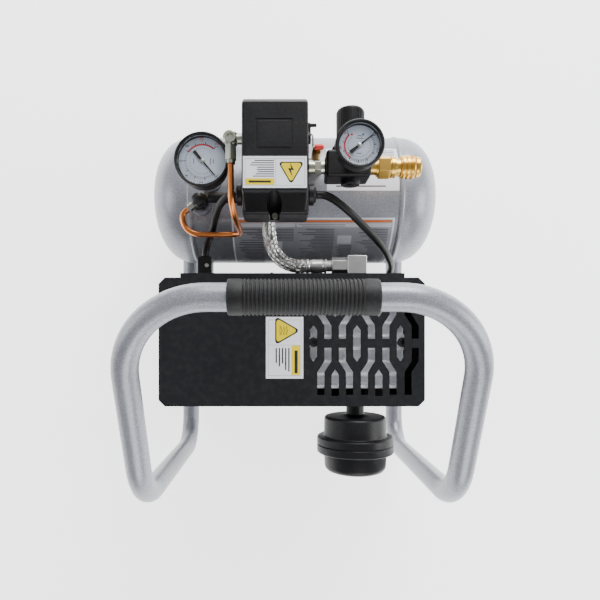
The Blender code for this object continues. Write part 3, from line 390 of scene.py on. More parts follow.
satin_black = moulded("satin_black_plastic", (0.0055, 0.0055, 0.0065), (0.0085, 0.0085, 0.0095), 0.33,
    grain=0.07, dust=0.015, Specular_IOR_Level=0.26)
soft_black = moulded("soft_black_rubber", (0.0045, 0.0046, 0.0055), (0.0080, 0.0084, 0.0095), 0.50,
    grain=0.15, dust=0.03, scale=1100.0, Specular_IOR_Level=0.35)

for hand, x in (("left", rail_x), ("right", -rail_x)):
    end = frame_low.y
    plug = spin_profile("Y", (x, 0, rail_z), ((end + 0.0002, 0), (end + 0.0002, 0.0108),
        (end - 0.0012, 0.0108), (end - 0.0028, 0.0092), (end - 0.0034, 0.0060), (end - 0.0034, 0)), 40,
        satin_black)
    set_in_place("rail_plug_" + hand, [plug])


# ---------------------------------------------------------------------------------- the grip
# A soft ribbed sleeve pushed over the crossbar, with a plain cuff moulded at each end.
# Its ribs are rings in a row, made by one Geometry Nodes tree.

def group_socket(tree, name):
    """The identifier of a tree's input, which is how a modifier takes its value."""
    return next(item.identifier for item in tree.interface.items_tree
                if item.item_type == "SOCKET" and item.in_out == "INPUT" and item.name == name)


def grow(tree, values, places=(), chained=False):
    """Runs a Geometry Nodes tree with these inputs and returns the result as a plain shape.
    The places are points that the tree takes as its geometry, joined in a chain if asked."""
    seed_mesh = bpy.data.meshes.new("seed")
    seed_mesh.from_pydata(places, [(k, k + 1) for k in range(len(places) - 1)] if chained else [], [])
    holder = bpy.data.objects.new("holder", seed_mesh)
    bpy.context.scene.collection.objects.link(holder)
    grower = holder.modifiers.new("grow", "NODES")
    grower.node_group = tree
    for name, value in values.items():
        grower[group_socket(tree, name)] = value
    mesh = bpy.data.meshes.new_from_object(holder.evaluated_get(bpy.context.evaluated_depsgraph_get()))
    bpy.data.objects.remove(holder, do_unlink=True)
    bpy.data.meshes.remove(seed_mesh)
    shape = bpy.data.objects.new("shape", mesh)
    bpy.context.scene.collection.objects.link(shape)
    return shape


def new_tree(name, **inputs):
    """A Geometry Nodes tree with named inputs, and the sockets that give them."""
    tree = bpy.data.node_groups.new(name, "GeometryNodeTree")
    tree.interface.new_socket("Geometry", in_out="OUTPUT", socket_type="NodeSocketGeometry")
    for label, kind in inputs.items():
        tree.interface.new_socket(label, in_out="INPUT", socket_type="NodeSocket" + kind)
    return tree, tree.nodes.new("NodeGroupInput").outputs


def end_tree(tree, geometry, material):
    """Every tree ends the same way: real geometry with its material set."""
    real = add_node(tree, "GeometryNodeRealizeInstances", {"Geometry": geometry})
    painted = add_node(tree, "GeometryNodeSetMaterial", {"Geometry": real, "Material": material})
    tree.links.new(painted, tree.nodes.new("NodeGroupOutput").inputs["Geometry"])


rib_tree, rib = new_tree("grip_ribs", Ring="Float", Thickness="Float", Count="Int", First="Vector",
    Pitch="Vector", Rubber="Material")
ring = add_node(rib_tree, "GeometryNodeCurvePrimitiveCircle", {"Resolution": 56, "Radius": rib["Ring"]})
section = add_node(rib_tree, "GeometryNodeCurvePrimitiveCircle",
    {"Resolution": 12, "Radius": rib["Thickness"]})
rib_mesh = add_node(rib_tree, "GeometryNodeCurveToMesh", {"Curve": ring, "Profile Curve": section})
rib_turned = add_node(rib_tree, "GeometryNodeTransform",
    {"Geometry": rib_mesh, "Rotation": (0, math.pi / 2, 0)})
rib_row = add_node(rib_tree, "GeometryNodeMeshLine",
    {"Count": rib["Count"], "Start Location": rib["First"], "Offset": rib["Pitch"]})
end_tree(rib_tree, add_node(rib_tree, "GeometryNodeInstanceOnPoints",
    {"Points": rib_row, "Instance": rib_turned}), rib["Rubber"])

grip_half = grip_high.x
grip_radius = (grip_high.z - grip_low.z) / 2
cuff = 0.0115
rib_count = 30
rib_pitch = (2 * (grip_half - cuff)) / rib_count
grip_centre = Vector((0, bar_y, bar_z))
sleeve_profile = [(-grip_half, 0.0114), (-grip_half, 0.0131), (-grip_half + 0.0010, grip_radius),
                  (-grip_half + cuff - 0.0008, grip_radius), (-grip_half + cuff, 0.0131)]
sleeve_profile += [(-along, radius) for along, radius in reversed(sleeve_profile)]
grip_sleeve = spin_profile("X", grip_centre, sleeve_profile, 64, soft_black)
grip_ribs = grow(rib_tree, {"Ring": grip_radius - 0.0013, "Thickness": 0.0013, "Count": rib_count,
    "First": grip_centre - Vector((grip_half - cuff - rib_pitch / 2, 0, 0)),
    "Pitch": Vector((rib_pitch, 0, 0)), "Rubber": soft_black})
set_in_place("ribbed_grip", [grip_sleeve, grip_ribs], ["handle_grip"], sharp=50)


# ------------------------------------------------------------------------------------- feet
# Four turned rubber feet under the rails, hollowed to the tube above and held from below by a screw.
# The screw heads, here and all over the machine, come from one Geometry Nodes tree.

def prism_shape(axis, outline, start, end, material):
    """An outline in the two axes after the given one, extruded along it."""
    bm = bmesh.new()
    turn = AXIS_TURNS[axis]
    low = [bm.verts.new(turn @ Vector((a, b, start))) for a, b in outline]
    high = [bm.verts.new(turn @ Vector((a, b, end))) for a, b in outline]
    bm.faces.new(low)
    bm.faces.new(high)
    for index in range(len(outline)):
        after = (index + 1) % len(outline)
        bm.faces.new((low[index], low[after], high[after], high[index]))
    return shape_from(bm, material)


def block_shape(low, high, material):
    outline = ((low[0], low[1]), (high[0], low[1]), (high[0], high[1]), (low[0], high[1]))
    return prism_shape("Z", outline, low[2], high[2], material)


def rod_shape(axis, centre, start, end, radius, material, sides=32, turn=0.0):
    """A round or many-sided bar along an axis; centre gives its place in the other two."""
    a, b = {"X": (centre[1], centre[2]), "Y": (centre[2], centre[0]), "Z": (centre[0], centre[1])}[axis]
    outline = [(a + radius * math.cos(2 * math.pi * k / sides + turn),
                b + radius * math.sin(2 * math.pi * k / sides + turn)) for k in range(sides)]
    return prism_shape(axis, outline, start, end, material)


def hexagon(axis, centre, start, end, radius, material, edge=0.0005):
    """A six-sided nut or spanner flat with its edges taken off."""
    return soften(rod_shape(axis, centre, start, end, radius, material, 6), edge)


def soft_block(low, high, material, edge, steps=2):
    return soften(block_shape(low, high, material), edge, steps)


def work(shape, others, operation):
    """Cuts other shapes away from a shape, or joins them to it, and uses them up."""
    for other in others:
        step = shape.modifiers.new("work", "BOOLEAN")
        step.operation = operation
        step.solver = "EXACT"
        step.object = other
        mesh = bpy.data.meshes.new_from_object(shape.evaluated_get(bpy.context.evaluated_depsgraph_get()))
        shape.modifiers.clear()
        shape.data = mesh
        bpy.data.objects.remove(other, do_unlink=True)
    return shape


# Metal: the fine scratches and cloudy tarnish of a machined, plated or cast surface.
metal_group, metal, place, facing = finish_group("worked_metal", {
    "Metal Color": (0.6, 0.6, 0.6), "Tarnish Color": (0.4, 0.4, 0.4), "Tarnish": 0.4, "Grain Scale": 900.0,
    "Grain Strength": 0.15, "Base Roughness": 0.25})
cloud = clouds(metal_group, place, 70.0, 5.0)
tarnish = reckon(metal_group, "MULTIPLY", stretch(metal_group, cloud, 0.38, 0.70), metal["Tarnish"])
end_finish(metal_group, tint(metal_group, tarnish, metal["Metal Color"], metal["Tarnish Color"]), cloud, 0.18,
           metal["Base Roughness"], clouds(metal_group, place, metal["Grain Scale"], 3.0),
           metal["Grain Strength"], 0.0002)


def worked(name, color, tarnished, tarnish, roughness, grain=0.15, scale=900.0, metallic=1.0):
    """Cast, plated or turned metal: its own colour, and its colour where it is tarnished."""
    return dress(name, metal_group, {"Metal Color": color, "Tarnish Color": tarnished, "Tarnish": tarnish,
        "Grain Scale": scale, "Grain Strength": grain, "Base Roughness": roughness}, metallic=metallic)


zinc_plate = worked("zinc_plate", (0.50, 0.52, 0.46), (0.42, 0.40, 0.22), 0.65, 0.24)
black_steel = worked("blackened_steel", (0.045, 0.045, 0.048), (0.022, 0.022, 0.023), 0.5, 0.26, metallic=0.7)

# Bolt heads: a chamfered round or six-sided head with a socket in it, one at each given place.
bolt_tree, bolt = new_tree("bolt_heads", Places="Geometry", Sides="Int", Radius="Float", Height="Float",
    Crown="Float", Corners="Int", Socket="Float", Depth="Float", Turn="Vector", Metal="Material")


def bolt_storey(sides, low_radius, top_radius, depth, lift):
    """One straight or tapered storey of the head, standing on a height."""
    storey = add_node(bolt_tree, "GeometryNodeMeshCone", {
        "Vertices": sides, "Radius Bottom": low_radius, "Radius Top": top_radius, "Depth": depth})
    return add_node(bolt_tree, "GeometryNodeTransform", {
        "Geometry": storey, "Translation": add_node(bolt_tree, "ShaderNodeCombineXYZ", {2: lift})})


bolt_main = reckon(bolt_tree, "MULTIPLY", bolt["Height"], 0.75)
bolt_rest = reckon(bolt_tree, "SUBTRACT", bolt["Height"], bolt_main)
bolt_floor = reckon(bolt_tree, "SUBTRACT", bolt["Height"], bolt["Depth"])
bolt_head = bolt_tree.nodes.new("GeometryNodeMeshBoolean")
bolt_head.operation, bolt_head.solver = "UNION", "EXACT"
for storey in (bolt_storey(bolt["Sides"], bolt["Radius"], bolt["Radius"], bolt_main, 0.0),
               bolt_storey(bolt["Sides"], bolt["Radius"], bolt["Crown"], bolt_rest, bolt_main)):
    bolt_tree.links.new(storey, bolt_head.inputs["Mesh 2"])
bolt_cut = add_node(bolt_tree, "GeometryNodeMeshBoolean", {
    0: bolt_head.outputs["Mesh"],
    1: bolt_storey(bolt["Corners"], bolt["Socket"], bolt["Socket"], bolt["Height"], bolt_floor)},
    operation="DIFFERENCE", solver="EXACT")
bolt_turned = add_node(bolt_tree, "GeometryNodeTransform", {"Geometry": bolt_cut, "Rotation": bolt["Turn"]})
end_tree(bolt_tree, add_node(bolt_tree, "GeometryNodeInstanceOnPoints", {
    "Points": bolt["Places"], "Instance": bolt_turned}), bolt["Metal"])
BOLT_TURNS = {"+Z": (0, 0, 0), "-Z": (math.pi, 0, 0), "-Y": (math.pi / 2, 0, 0), "+Y": (-math.pi / 2, 0, 0),
              "+X": (0, math.pi / 2, 0), "-X": (0, -math.pi / 2, 0)}


def bolts(places, towards, radius, height, material, sides=32, socket=0.5, corners=6):
    """Heads that stand on these places, facing an axis."""
    return grow(bolt_tree, {"Sides": sides, "Radius": radius, "Height": height,
        "Crown": radius - height * 0.18, "Corners": corners, "Socket": radius * socket,
        "Depth": height * 0.6, "Turn": BOLT_TURNS[towards], "Metal": material}, places)


for spot in ("front_left", "front_right", "rear_left", "rear_right"):
    foot_low, foot_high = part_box("foot_" + spot)
    x, y = (foot_low.x + foot_high.x) / 2, (foot_low.y + foot_high.y) / 2
    radius, top = (foot_high.y - foot_low.y) / 2, foot_high.z
    foot = spin_profile("Z", (x, y, 0), ((0, 0.0062), (0, radius - 0.0014), (0.0005, radius - 0.0005),
        (0.0014, radius), (0.0065, radius - 0.0006), (0.0075, radius - 0.0016),
        (top - 0.0012, radius - 0.0016), (top, radius - 0.0028), (top, 0), (0.0035, 0), (0.0035, 0.0062)),
        48, soft_black)
    saddle = rod_shape("Y", (x, 0, rail_z), y - 0.03, y + 0.03, tube_radius + 0.0001, soft_black, 48)
    foot_screw = bolts([(x, y, 0.0036)], "-Z", 0.0042, 0.0024, zinc_plate)
    set_in_place("foot_skin_" + spot, [work(foot, [saddle], "DIFFERENCE")], ["foot_" + spot])
    set_in_place("foot_screw_" + spot, [foot_screw])


# ------------------------------------------------------------------------------------- tank
# A rolled steel shell with a pressed head at each end, joined by a weld bead at either seam and
# sprayed silver like the frame. Two printed films are stuck on it.

head_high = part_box("tank_head_left")[1]
shell_low, shell_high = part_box("tank_shell")
tank_y, tank_z = (shell_low.y + shell_high.y) / 2, (shell_low.z + shell_high.z) / 2
tank_radius = (shell_high.z - shell_low.z) / 2
seam_x, tank_end_x = shell_high.x, head_high.x
head_power = 2.35
tank_half = [(0.0, tank_radius), (seam_x - 0.0035, tank_radius), (seam_x - 0.0030, tank_radius + 0.0004),
             (seam_x - 0.0015, tank_radius + 0.0011), (seam_x + 0.0008, tank_radius + 0.0012),
             (seam_x + 0.0024, tank_radius + 0.0005), (seam_x + 0.0030, tank_radius)]
head_steps = 28
for step in range(1, head_steps + 1):
    angle = math.pi / 2 * step / head_steps
    along = seam_x + 0.0035 + (tank_end_x - seam_x - 0.0035) * math.sin(angle) ** (2 / head_power)
    out = tank_radius * max(math.cos(angle), 0) ** (2 / head_power)
    tank_half.append((along, out if step < head_steps else 0))
tank_profile = [(-along, out) for along, out in reversed(tank_half[1:])] + tank_half
tank_skin = spin_profile("X", (0, tank_y, tank_z), tank_profile, 128, silver_coat)
bungs = [rod_shape("Z", (x, y, 0), tank_z + tank_radius - drop, tank_z + tank_radius + 0.0022, radius,
    silver_coat, 40) for x, y, radius, drop in ((0.0222, -0.134, 0.0150, 0.006),
    (0.0927, -0.1294, 0.0105, 0.004), (0.105, -0.106, 0.0125, 0.010), (-0.0195, -0.1462, 0.0105, 0.009))]
for bung in bungs:
    soften(bung, 0.0007)
drain_bung = soften(rod_shape("Z", (0, tank_y, 0), 0.0335, 0.0400, 0.0125, silver_coat, 40), 0.0007)
set_in_place("tank_skin", [tank_skin, drain_bung] + bungs,
             ["tank_shell", "tank_head_left", "tank_head_right"], sharp=40)

# Printed films: a sheet and the ink on it, bent to whatever they are stuck on. The rows of small print
# are plain bars of uneven length from one Geometry Nodes tree.
film_white = moulded("film_white", (0.78, 0.78, 0.84), (0.86, 0.86, 0.92), 0.25)
film_silver = moulded("film_silver", (0.36, 0.36, 0.41), (0.44, 0.44, 0.49), 0.30, metallic=0.2)
ink_grey = moulded("ink_grey", (0.10, 0.10, 0.12), (0.16, 0.16, 0.18), 0.30)
ink_pale = moulded("ink_pale", (0.60, 0.60, 0.66), (0.68, 0.68, 0.72), 0.30)
ink_orange = moulded("ink_orange", (0.62, 0.14, 0.015), (0.70, 0.18, 0.03), 0.30)

line_tree, row = new_tree("print_lines", Count="Int", Pitch="Float", Length="Float", Weight="Float",
    Thickness="Float", Shortest="Float", Seed="Int", Ink="Material")
rows = add_node(line_tree, "GeometryNodeMeshLine", {
    "Count": row["Count"], "Offset": add_node(line_tree, "ShaderNodeCombineXYZ", {1: row["Pitch"]})})
bar = add_node(line_tree, "GeometryNodeMeshCube", {"Size": add_node(line_tree, "ShaderNodeCombineXYZ", {
    0: 1.0, 1: row["Weight"], 2: row["Thickness"]})})
bar_shifted = add_node(line_tree, "GeometryNodeTransform", {"Geometry": bar, "Translation": (0.5, 0, 0)})
uneven = add_node(line_tree, "FunctionNodeRandomValue", {2: row["Shortest"], 3: 1.0, "Seed": row["Seed"]}, 1)
bar_scale = add_node(line_tree, "ShaderNodeCombineXYZ", {
    0: reckon(line_tree, "MULTIPLY", uneven, row["Length"]), 1: 1.0, 2: 1.0})
end_tree(line_tree, add_node(line_tree, "GeometryNodeInstanceOnPoints", {
    "Points": rows, "Instance": bar_shifted, "Scale": bar_scale}), row["Ink"])


def patch(x_low, x_high, y_low, y_high, level, material, steps=1, thickness=0.00005):
    """A thin flat sheet between two corners, cut into steps along y so that it can be bent."""
    bm = bmesh.new()
    for step in range(steps):
        near = y_low + (y_high - y_low) * step / steps
        far = y_low + (y_high - y_low) * (step + 1) / steps
        quad = [[bm.verts.new((x, y, z)) for x, y in ((x_low, near), (x_high, near), (x_high, far),
            (x_low, far))] for z in (level, level + thickness)]
        bm.faces.new(quad[0])
        bm.faces.new(quad[1])
        for k in range(4):
            after = (k + 1) % 4
            if (k == 0 and step > 0) or (k == 2 and step < steps - 1):
                continue
            bm.faces.new((quad[0][k], quad[0][after], quad[1][after], quad[1][k]))
    return shape_from(bm, material)


def small_print(x_low, x_high, y_low, y_high, count, level, material, seed, shortest=0.6, share=0.45):
    """Rows of bars that fill a rectangle."""
    pitch = (y_high - y_low) / count
    shape = grow(line_tree, {"Count": count, "Pitch": pitch, "Length": x_high - x_low,
        "Weight": pitch * share, "Thickness": 0.00004, "Shortest": shortest, "Seed": seed, "Ink": material})
    shape.data.transform(Matrix.Translation((x_low, y_low + pitch / 2, level)))
    return shape


def bend_on(shapes, place):
    """Carries flat shapes over to where their sheet is stuck; place turns (x, y, lift) into a point."""
    for shape in shapes:
        for vertex in shape.data.vertices:
            vertex.co = place(vertex.co)
        bm = bmesh.new()
        bm.from_mesh(shape.data)
        bmesh.ops.recalc_face_normals(bm, faces=bm.faces)
        bm.to_mesh(shape.data)
        bm.free()
    return shapes


def on_tank(point):
    """x runs towards -X as on the machine seen from above; y is the distance round from the tank's top."""
    angle = point.y / tank_radius
    out = tank_radius + 0.00006 + point.z
    return Vector((point.x, tank_y + out * math.sin(angle), tank_z + out * math.cos(angle)))


film_top = math.radians(27) * tank_radius
film_end = math.radians(97) * tank_radius
rear_film = [patch(-0.1110, 0.0720, film_top, film_end, 0, film_white, 24),
    patch(-0.1090, 0.0700, film_top + 0.0020, film_end - 0.0020, 0.00006, film_silver, 24),
    patch(-0.1080, -0.0010, film_top + 0.0026, film_top + 0.0052, 0.00012, ink_orange),
    patch(0.0005, 0.0690, film_top + 0.0026, film_top + 0.0052, 0.00012, ink_orange),
    patch(-0.1080, -0.0010, film_top + 0.0064, film_top + 0.0110, 0.00012, ink_pale, 3),
    patch(0.0005, 0.0690, film_top + 0.0064, film_top + 0.0110, 0.00012, ink_pale, 3),
    patch(-0.0640, -0.0480, film_top + 0.0215, film_top + 0.0330, 0.00012, ink_pale, 4),
    patch(0.0150, 0.0340, film_top + 0.0300, film_top + 0.0450, 0.00012, ink_pale, 4),
    small_print(-0.1050, -0.0690, film_top + 0.0125, film_end - 0.006, 34, 0.00012, ink_grey, 4, 0.5),
    small_print(-0.0440, -0.0020, film_top + 0.0125, film_end - 0.006, 34, 0.00012, ink_grey, 9, 0.5),
    small_print(-0.0655, -0.0465, film_top + 0.0350, film_end - 0.006, 22, 0.00012, ink_grey, 5, 0.5),
    small_print(0.0020, 0.0660, film_top + 0.0125, film_top + 0.0290, 8, 0.00012, ink_grey, 12, 0.6),
    small_print(0.0360, 0.0660, film_top + 0.0300, film_end - 0.006, 20, 0.00012, ink_grey, 14, 0.6),
    small_print(-0.0560, -0.0020, film_top + 0.0070, film_top + 0.0106, 2, 0.00018, ink_grey, 3, 0.7, 0.3)]
set_in_place("rear_film", bend_on(rear_film, on_tank))
top_end = math.radians(4.5) * tank_radius
top_film = [patch(-0.1140, -0.0340, top_end - 0.0550, top_end, 0, film_white, 16),
    small_print(-0.0990, -0.0420, top_end - 0.0062, top_end - 0.0034, 1, 0.00006, ink_grey, 2, 0.95, 0.6),
    small_print(-0.1100, -0.0700, top_end - 0.0520, top_end - 0.0360, 6, 0.00006, ink_grey, 8, 0.6)]
set_in_place("top_film", bend_on(top_film, on_tank))


# ---------------------------------------------------------------------------------- saddles
# Pressed steel brackets, an upright web under the shell with two tabs bolted to the rail.

for hand, side in (("left", 1), ("right", -1)):
    saddle_low, saddle_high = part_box("tank_saddle_" + hand)
    web_in, web_out, tab_out = 0.106, 0.110, 0.154
    web_low = (min(side * web_in, side * web_out), saddle_low.y, saddle_low.z)
    web_high = (max(side * web_in, side * web_out), saddle_high.y, saddle_high.z + 0.004)
    web = block_shape(web_low, web_high, silver_coat)
    shell_space = rod_shape("X", (0, tank_y, tank_z), -0.2, 0.2, tank_radius - 0.0002, silver_coat, 96)
    window = rod_shape("X", (0, tank_y, 0.008), -0.2, 0.2, 0.0230, silver_coat, 48)
    saddle_parts = [soften(work(web, [shell_space, window], "DIFFERENCE"), 0.0006)]
    bolt_places = []
    for end in (-1, 1):
        near, far = sorted((tank_y + end * 0.024, tank_y + end * 0.050))
        tab = block_shape((min(side * web_in, side * tab_out), near, rail_z + tube_radius + 0.0001),
            (max(side * web_in, side * tab_out), far, rail_z + tube_radius + 0.0028), silver_coat)
        saddle_parts.append(soften(tab, 0.0008))
        bolt_places.append((side * rail_x, (near + far) / 2, rail_z + tube_radius + 0.0028))
    set_in_place("saddle_skin_" + hand, saddle_parts, ["tank_saddle_" + hand])
    set_in_place("saddle_bolts_" + hand, [bolts(bolt_places, "+Z", 0.0058, 0.0042, zinc_plate, 6, 0.01)])


# ----------------------------------------------------------------------------- drain cock
# A small brass cock screwed in under the tank; its key with two wings opens it to let water out.

brass = worked("yellow_brass", (0.76, 0.47, 0.11), (0.50, 0.28, 0.05), 0.5, 0.20, grain=0.10)
drain_centre = (0, tank_y, 0)
drain_body = spin_profile("Z", drain_centre, ((0.0210, 0), (0.0210, 0.0058), (0.0218, 0.0065),
    (0.0255, 0.0065), (0.0255, 0.0050), (0.0400, 0.0050), (0.0400, 0)), 40, brass)
drain_hex = hexagon("Z", drain_centre, 0.0262, 0.0338, 0.0090, brass, 0.0004)
set_in_place("drain_cock", [drain_body, drain_hex], ["drain_valve_body"])
key_low, key_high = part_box("drain_valve_key")
key_stem = spin_profile("Z", drain_centre, ((key_low.z, 0), (key_low.z, 0.0040),
    (key_low.z + 0.0010, 0.0050), (key_high.z, 0.0050), (key_high.z, 0)), 40, brass)
key_wing = soft_block((key_low.x, tank_y - 0.0015, key_low.z + 0.0006), (key_high.x, tank_y + 0.0015,
    key_low.z + 0.0065), brass, 0.0012)
set_in_place("drain_key", [key_stem, key_wing], ["drain_valve_key"], "drain_key")


# -------------------------------------------------------------------------------- pump tray
# A folded steel plate laid across the rails, with lips turned down and an opening under the fan.

tray_low, tray_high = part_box("pump_tray")
tray_top = tray_high.z
plate_low_z = tray_top - 0.003
tray = block_shape((tray_low.x, tray_low.y, plate_low_z), (tray_high.x, tray_high.y, tray_top), silver_coat)
tray_vent = block_shape((0.020, 0.020, plate_low_z - 0.01), (0.036, 0.072, tray_top + 0.01), silver_coat)
tray_parts = [soften(work(tray, [tray_vent], "DIFFERENCE"), 0.0007)]
for y in (tray_low.y, tray_high.y - 0.0025):
    lip = block_shape((-0.128, y, tray_low.z), (0.128, y + 0.0025, plate_low_z + 0.0005), silver_coat)
    tray_parts.append(soften(lip, 0.0007))
set_in_place("tray_skin", tray_parts, ["pump_tray"])
tray_bolt_places = [(side * rail_x, y, tray_top) for side in (-1, 1) for y in (0.002, 0.090)]
set_in_place("tray_bolts", [bolts(tray_bolt_places, "+Z", 0.0056, 0.0042, zinc_plate, 6, 0.01)])


# ------------------------------------------------------------------------------- pump cover
# A folded box of thin sheet steel, powder coated black. A grille of straight and bent slots is punched
# in its top over the cylinder head, and vents in both ends. It is held to the tray by screws.

cover_low, cover_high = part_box("pump_cover")
cover_top, cover_wall = cover_high.z, 0.0015
panel_depth = 0.0045
cover_front, cover_rear = cover_low.y + panel_depth, cover_high.y


def cover_plan(inset):
    """The cover from above, drawn in by an inset: four cut corners and the raised front panel."""
    left, right = cover_high.x - inset, cover_low.x + inset
    front, rear = cover_front + inset, cover_rear - inset
    panel, bevel = cover_low.y + inset, 0.0063 - inset * 0.6
    return ((right, rear - bevel), (right, front + bevel), (right + bevel, front), (-0.109 + inset, front),
            (-0.109 + inset, panel), (0.119 - inset, panel), (0.119 - inset, front), (left - bevel, front),
            (left, front + bevel), (left, rear - bevel), (left - bevel, rear), (right + bevel, rear))


grille_x, grille_y, grille_pitch = -0.0606, 0.0474, 0.0443
slot_half = 0.0038


def straight_slot(x, near, far, near_tip, far_tip):
    """A slot that runs away from the front, with a point at an end whose tip isn't 0."""
    plan = [(x - slot_half, near + near_tip * slot_half), (x - slot_half, far - far_tip * slot_half)]
    plan += [(x, far)] * (far_tip > 0)
    plan += [(x + slot_half, far - far_tip * slot_half), (x + slot_half, near + near_tip * slot_half)]
    return plan + [(x, near)] * (near_tip > 0)


def bent_slot(x, lean, side):
    """A slot that runs straight, leans across, and runs straight again."""
    half = slot_half - 0.0002
    stations = ((0.0046, 0), (0.0180, 0), (0.0293, lean), (0.0525, lean))
    return ([(x - half + shift, grille_y + side * y) for y, shift in stations]
            + [(x + half + shift, grille_y + side * y) for y, shift in stations[::-1]])


slots = []
for column in (-1, 0, 1):
    x = grille_x + column * grille_pitch
    slots.append(straight_slot(x, grille_y - 0.0185, grille_y + 0.0185, 1.3, 1.3))
    for hand in (-1, 1):
        for side in (-1, 1):
            if (column, hand) != (1, 1):
                slots.append(bent_slot(x + hand * 0.0148, -hand * 0.0072, side))
for column in (-0.5, 0.5):
    x = grille_x + column * grille_pitch
    slots.append(straight_slot(x, grille_y + 0.0265, grille_y + 0.0535, 1.5, 0))
    slots.append(straight_slot(x, grille_y - 0.0535, grille_y - 0.0265, 0, 1.5))
cover = prism_shape("Z", cover_plan(0), tray_top + 0.0003, cover_top, black_coat)
cover_cuts = [prism_shape("Z", cover_plan(cover_wall), tray_top - 0.01, cover_top - cover_wall, black_coat)]
cover_cuts += [prism_shape("Z", plan, cover_top - 0.005, cover_top + 0.005, black_coat) for plan in slots]
for x in (cover_low.x, cover_high.x):
    for row in range(5):
        z = 0.070 + row * 0.016
        cover_cuts.append(block_shape((x - 0.005, 0.012, z), (x + 0.005, 0.080, z + 0.006), black_coat))
outlet_x, inlet_x, lead_x, clamp_x = -0.0642, -0.0629, -0.1163, 0.0990
for x, z, radius, y in ((outlet_x, 0.199, 0.0075, cover_front), (inlet_x, 0.200, 0.0105, cover_rear),
        (lead_x, 0.118, 0.0052, cover_front), (clamp_x, 0.189, 0.0060, cover_front)):
    cover_cuts.append(rod_shape("Y", (x, 0, z), y - 0.02, y + 0.02, radius, black_coat, 32))
work(cover, cover_cuts, "DIFFERENCE")
soften(cover, 0.0005, 2, 25)
set_in_place("cover_skin", [cover], ["pump_cover"], sharp=30)
set_in_place("cover_screws", [
    bolts([(cover_high.x, y, 0.0480) for y in (0.010, 0.090)], "+X", 0.0042, 0.0020, black_steel),
    bolts([(cover_low.x, y, 0.0480) for y in (0.010, 0.090)], "-X", 0.0042, 0.0020, black_steel),
    bolts([(x, cover_rear, 0.0480) for x in (-0.100, 0.005, 0.112)], "+Y", 0.0042, 0.0020, black_steel),
    bolts([(x, cover_low.y, 0.0480) for x in (-0.095, 0.105)], "-Y", 0.0042, 0.0020, black_steel),
    bolts([(0.0260, cover_low.y, 0.2255)], "-Y", 0.0016, 0.0012, zinc_plate)])

# The film on the cover: a yellow sign with a dark rim over a panel of small print.
ink_yellow = moulded("ink_yellow", (0.74, 0.57, 0.0), (0.80, 0.62, 0.0), 0.30)
ink_black = moulded("ink_black", (0.012, 0.012, 0.013), (0.02, 0.02, 0.02), 0.30)


def frame_lines(x_low, x_high, y_low, y_high, width, level, material):
    """A printed rectangle drawn with four thin lines."""
    return [patch(x_low, x_high, y_low, y_low + width, level, material),
            patch(x_low, x_high, y_high - width, y_high, level, material),
            patch(x_low, x_low + width, y_low, y_high, level, material),
            patch(x_high - width, x_high, y_low, y_high, level, material)]


def sign(x, y, reach, turn, level):
    """A three-sided sign with rounded corners: a dark sheet with a smaller yellow one on it."""
    sheets = []
    for size, lift, material in ((reach, 0, ink_black), (reach * 0.84, 0.00006, ink_yellow)):
        plan = []
        for corner in range(3):
            towards = turn + corner * 2 * math.pi / 3
            for step in range(-3, 4):
                around = towards + step * math.pi / 9
                plan.append((x + size * 0.82 * math.cos(towards) + size * 0.18 * math.cos(around),
                             y + size * 0.82 * math.sin(towards) + size * 0.18 * math.sin(around)))
        sheets.append(prism_shape("Z", plan, level + lift, level + lift + 0.00005, material))
    return sheets


# The film lies with its head to -X; wavy marks on its sign stand for warmth.
def wave(x, y, height, level, material):
    plan_near = [(x + 0.0007 * math.sin(step / 12 * 3 * math.pi) - 0.00030, y + height * (step / 12 - 0.5))
                 for step in range(13)]
    plan_far = [(a + 0.0006, b) for a, b in reversed(plan_near)]
    return prism_shape("Z", plan_near + plan_far, level, level + 0.00004, material)


film_left, film_right = 0.0319, -0.0060
film_front, film_rear = 0.0205, 0.0832
film_z = cover_top + 0.00005
sign_x, sign_y = (film_left + film_right) / 2, film_front + 0.0140
cover_film = [patch(film_right, film_left, film_front, film_rear, film_z, film_white)]
cover_film += frame_lines(film_right + 0.0022, film_left - 0.0022, film_front + 0.0030,
    film_rear - 0.0030, 0.00025, film_z + 0.00006, ink_grey)
film_middle = film_front + (film_rear - film_front) * 0.455
cover_film.append(patch(film_right + 0.0022, film_left - 0.0022, film_middle, film_middle + 0.00025,
    film_z + 0.00006, ink_grey))
cover_film += sign(sign_x + 0.0010, sign_y, 0.0146, math.pi, film_z + 0.00006)
for index in range(3):
    cover_film.append(wave(sign_x - 0.0024 + index * 0.0027, sign_y, 0.0088, film_z + 0.00018, ink_black))
cover_film.append(patch(sign_x + 0.0044, sign_x + 0.0049, film_front + 0.0085, film_front + 0.0185,
    film_z + 0.00018, ink_black))
cover_film.append(patch(film_right + 0.0030, film_right + 0.0120, film_middle + 0.0006,
    film_rear - 0.0036, film_z + 0.00006, ink_yellow))
yellow_word = small_print(0, film_rear - film_middle - 0.0110, 0, 0.0040, 1, 0, ink_black, 3, 0.97, 0.8)
row_block = small_print(0, film_rear - film_middle - 0.0080, 0, 0.0160, 5, 0, ink_black, 21, 0.55, 0.42)
for shape, x, y in ((yellow_word, film_right + 0.0053, film_middle + 0.0056),
        (row_block, film_right + 0.0130, film_middle + 0.0030)):
    turned_over = Matrix(((0, 1, 0, 0), (1, 0, 0, 0), (0, 0, 1, 0), (0, 0, 0, 1)))
    shape.data.transform(Matrix.Translation((x, y, film_z + 0.00012)) @ turned_over)
    shape.data.flip_normals()
    cover_film.append(shape)
set_in_place("cover_film", cover_film)


# ------------------------------------------------------------------------------ pump inside
# Under the cover: a finned cast head on a finned cylinder, a cast crankcase with the motor in it on a
# rubber mount, and on the shaft the crank with its rod and piston, the fan and a balance weight.

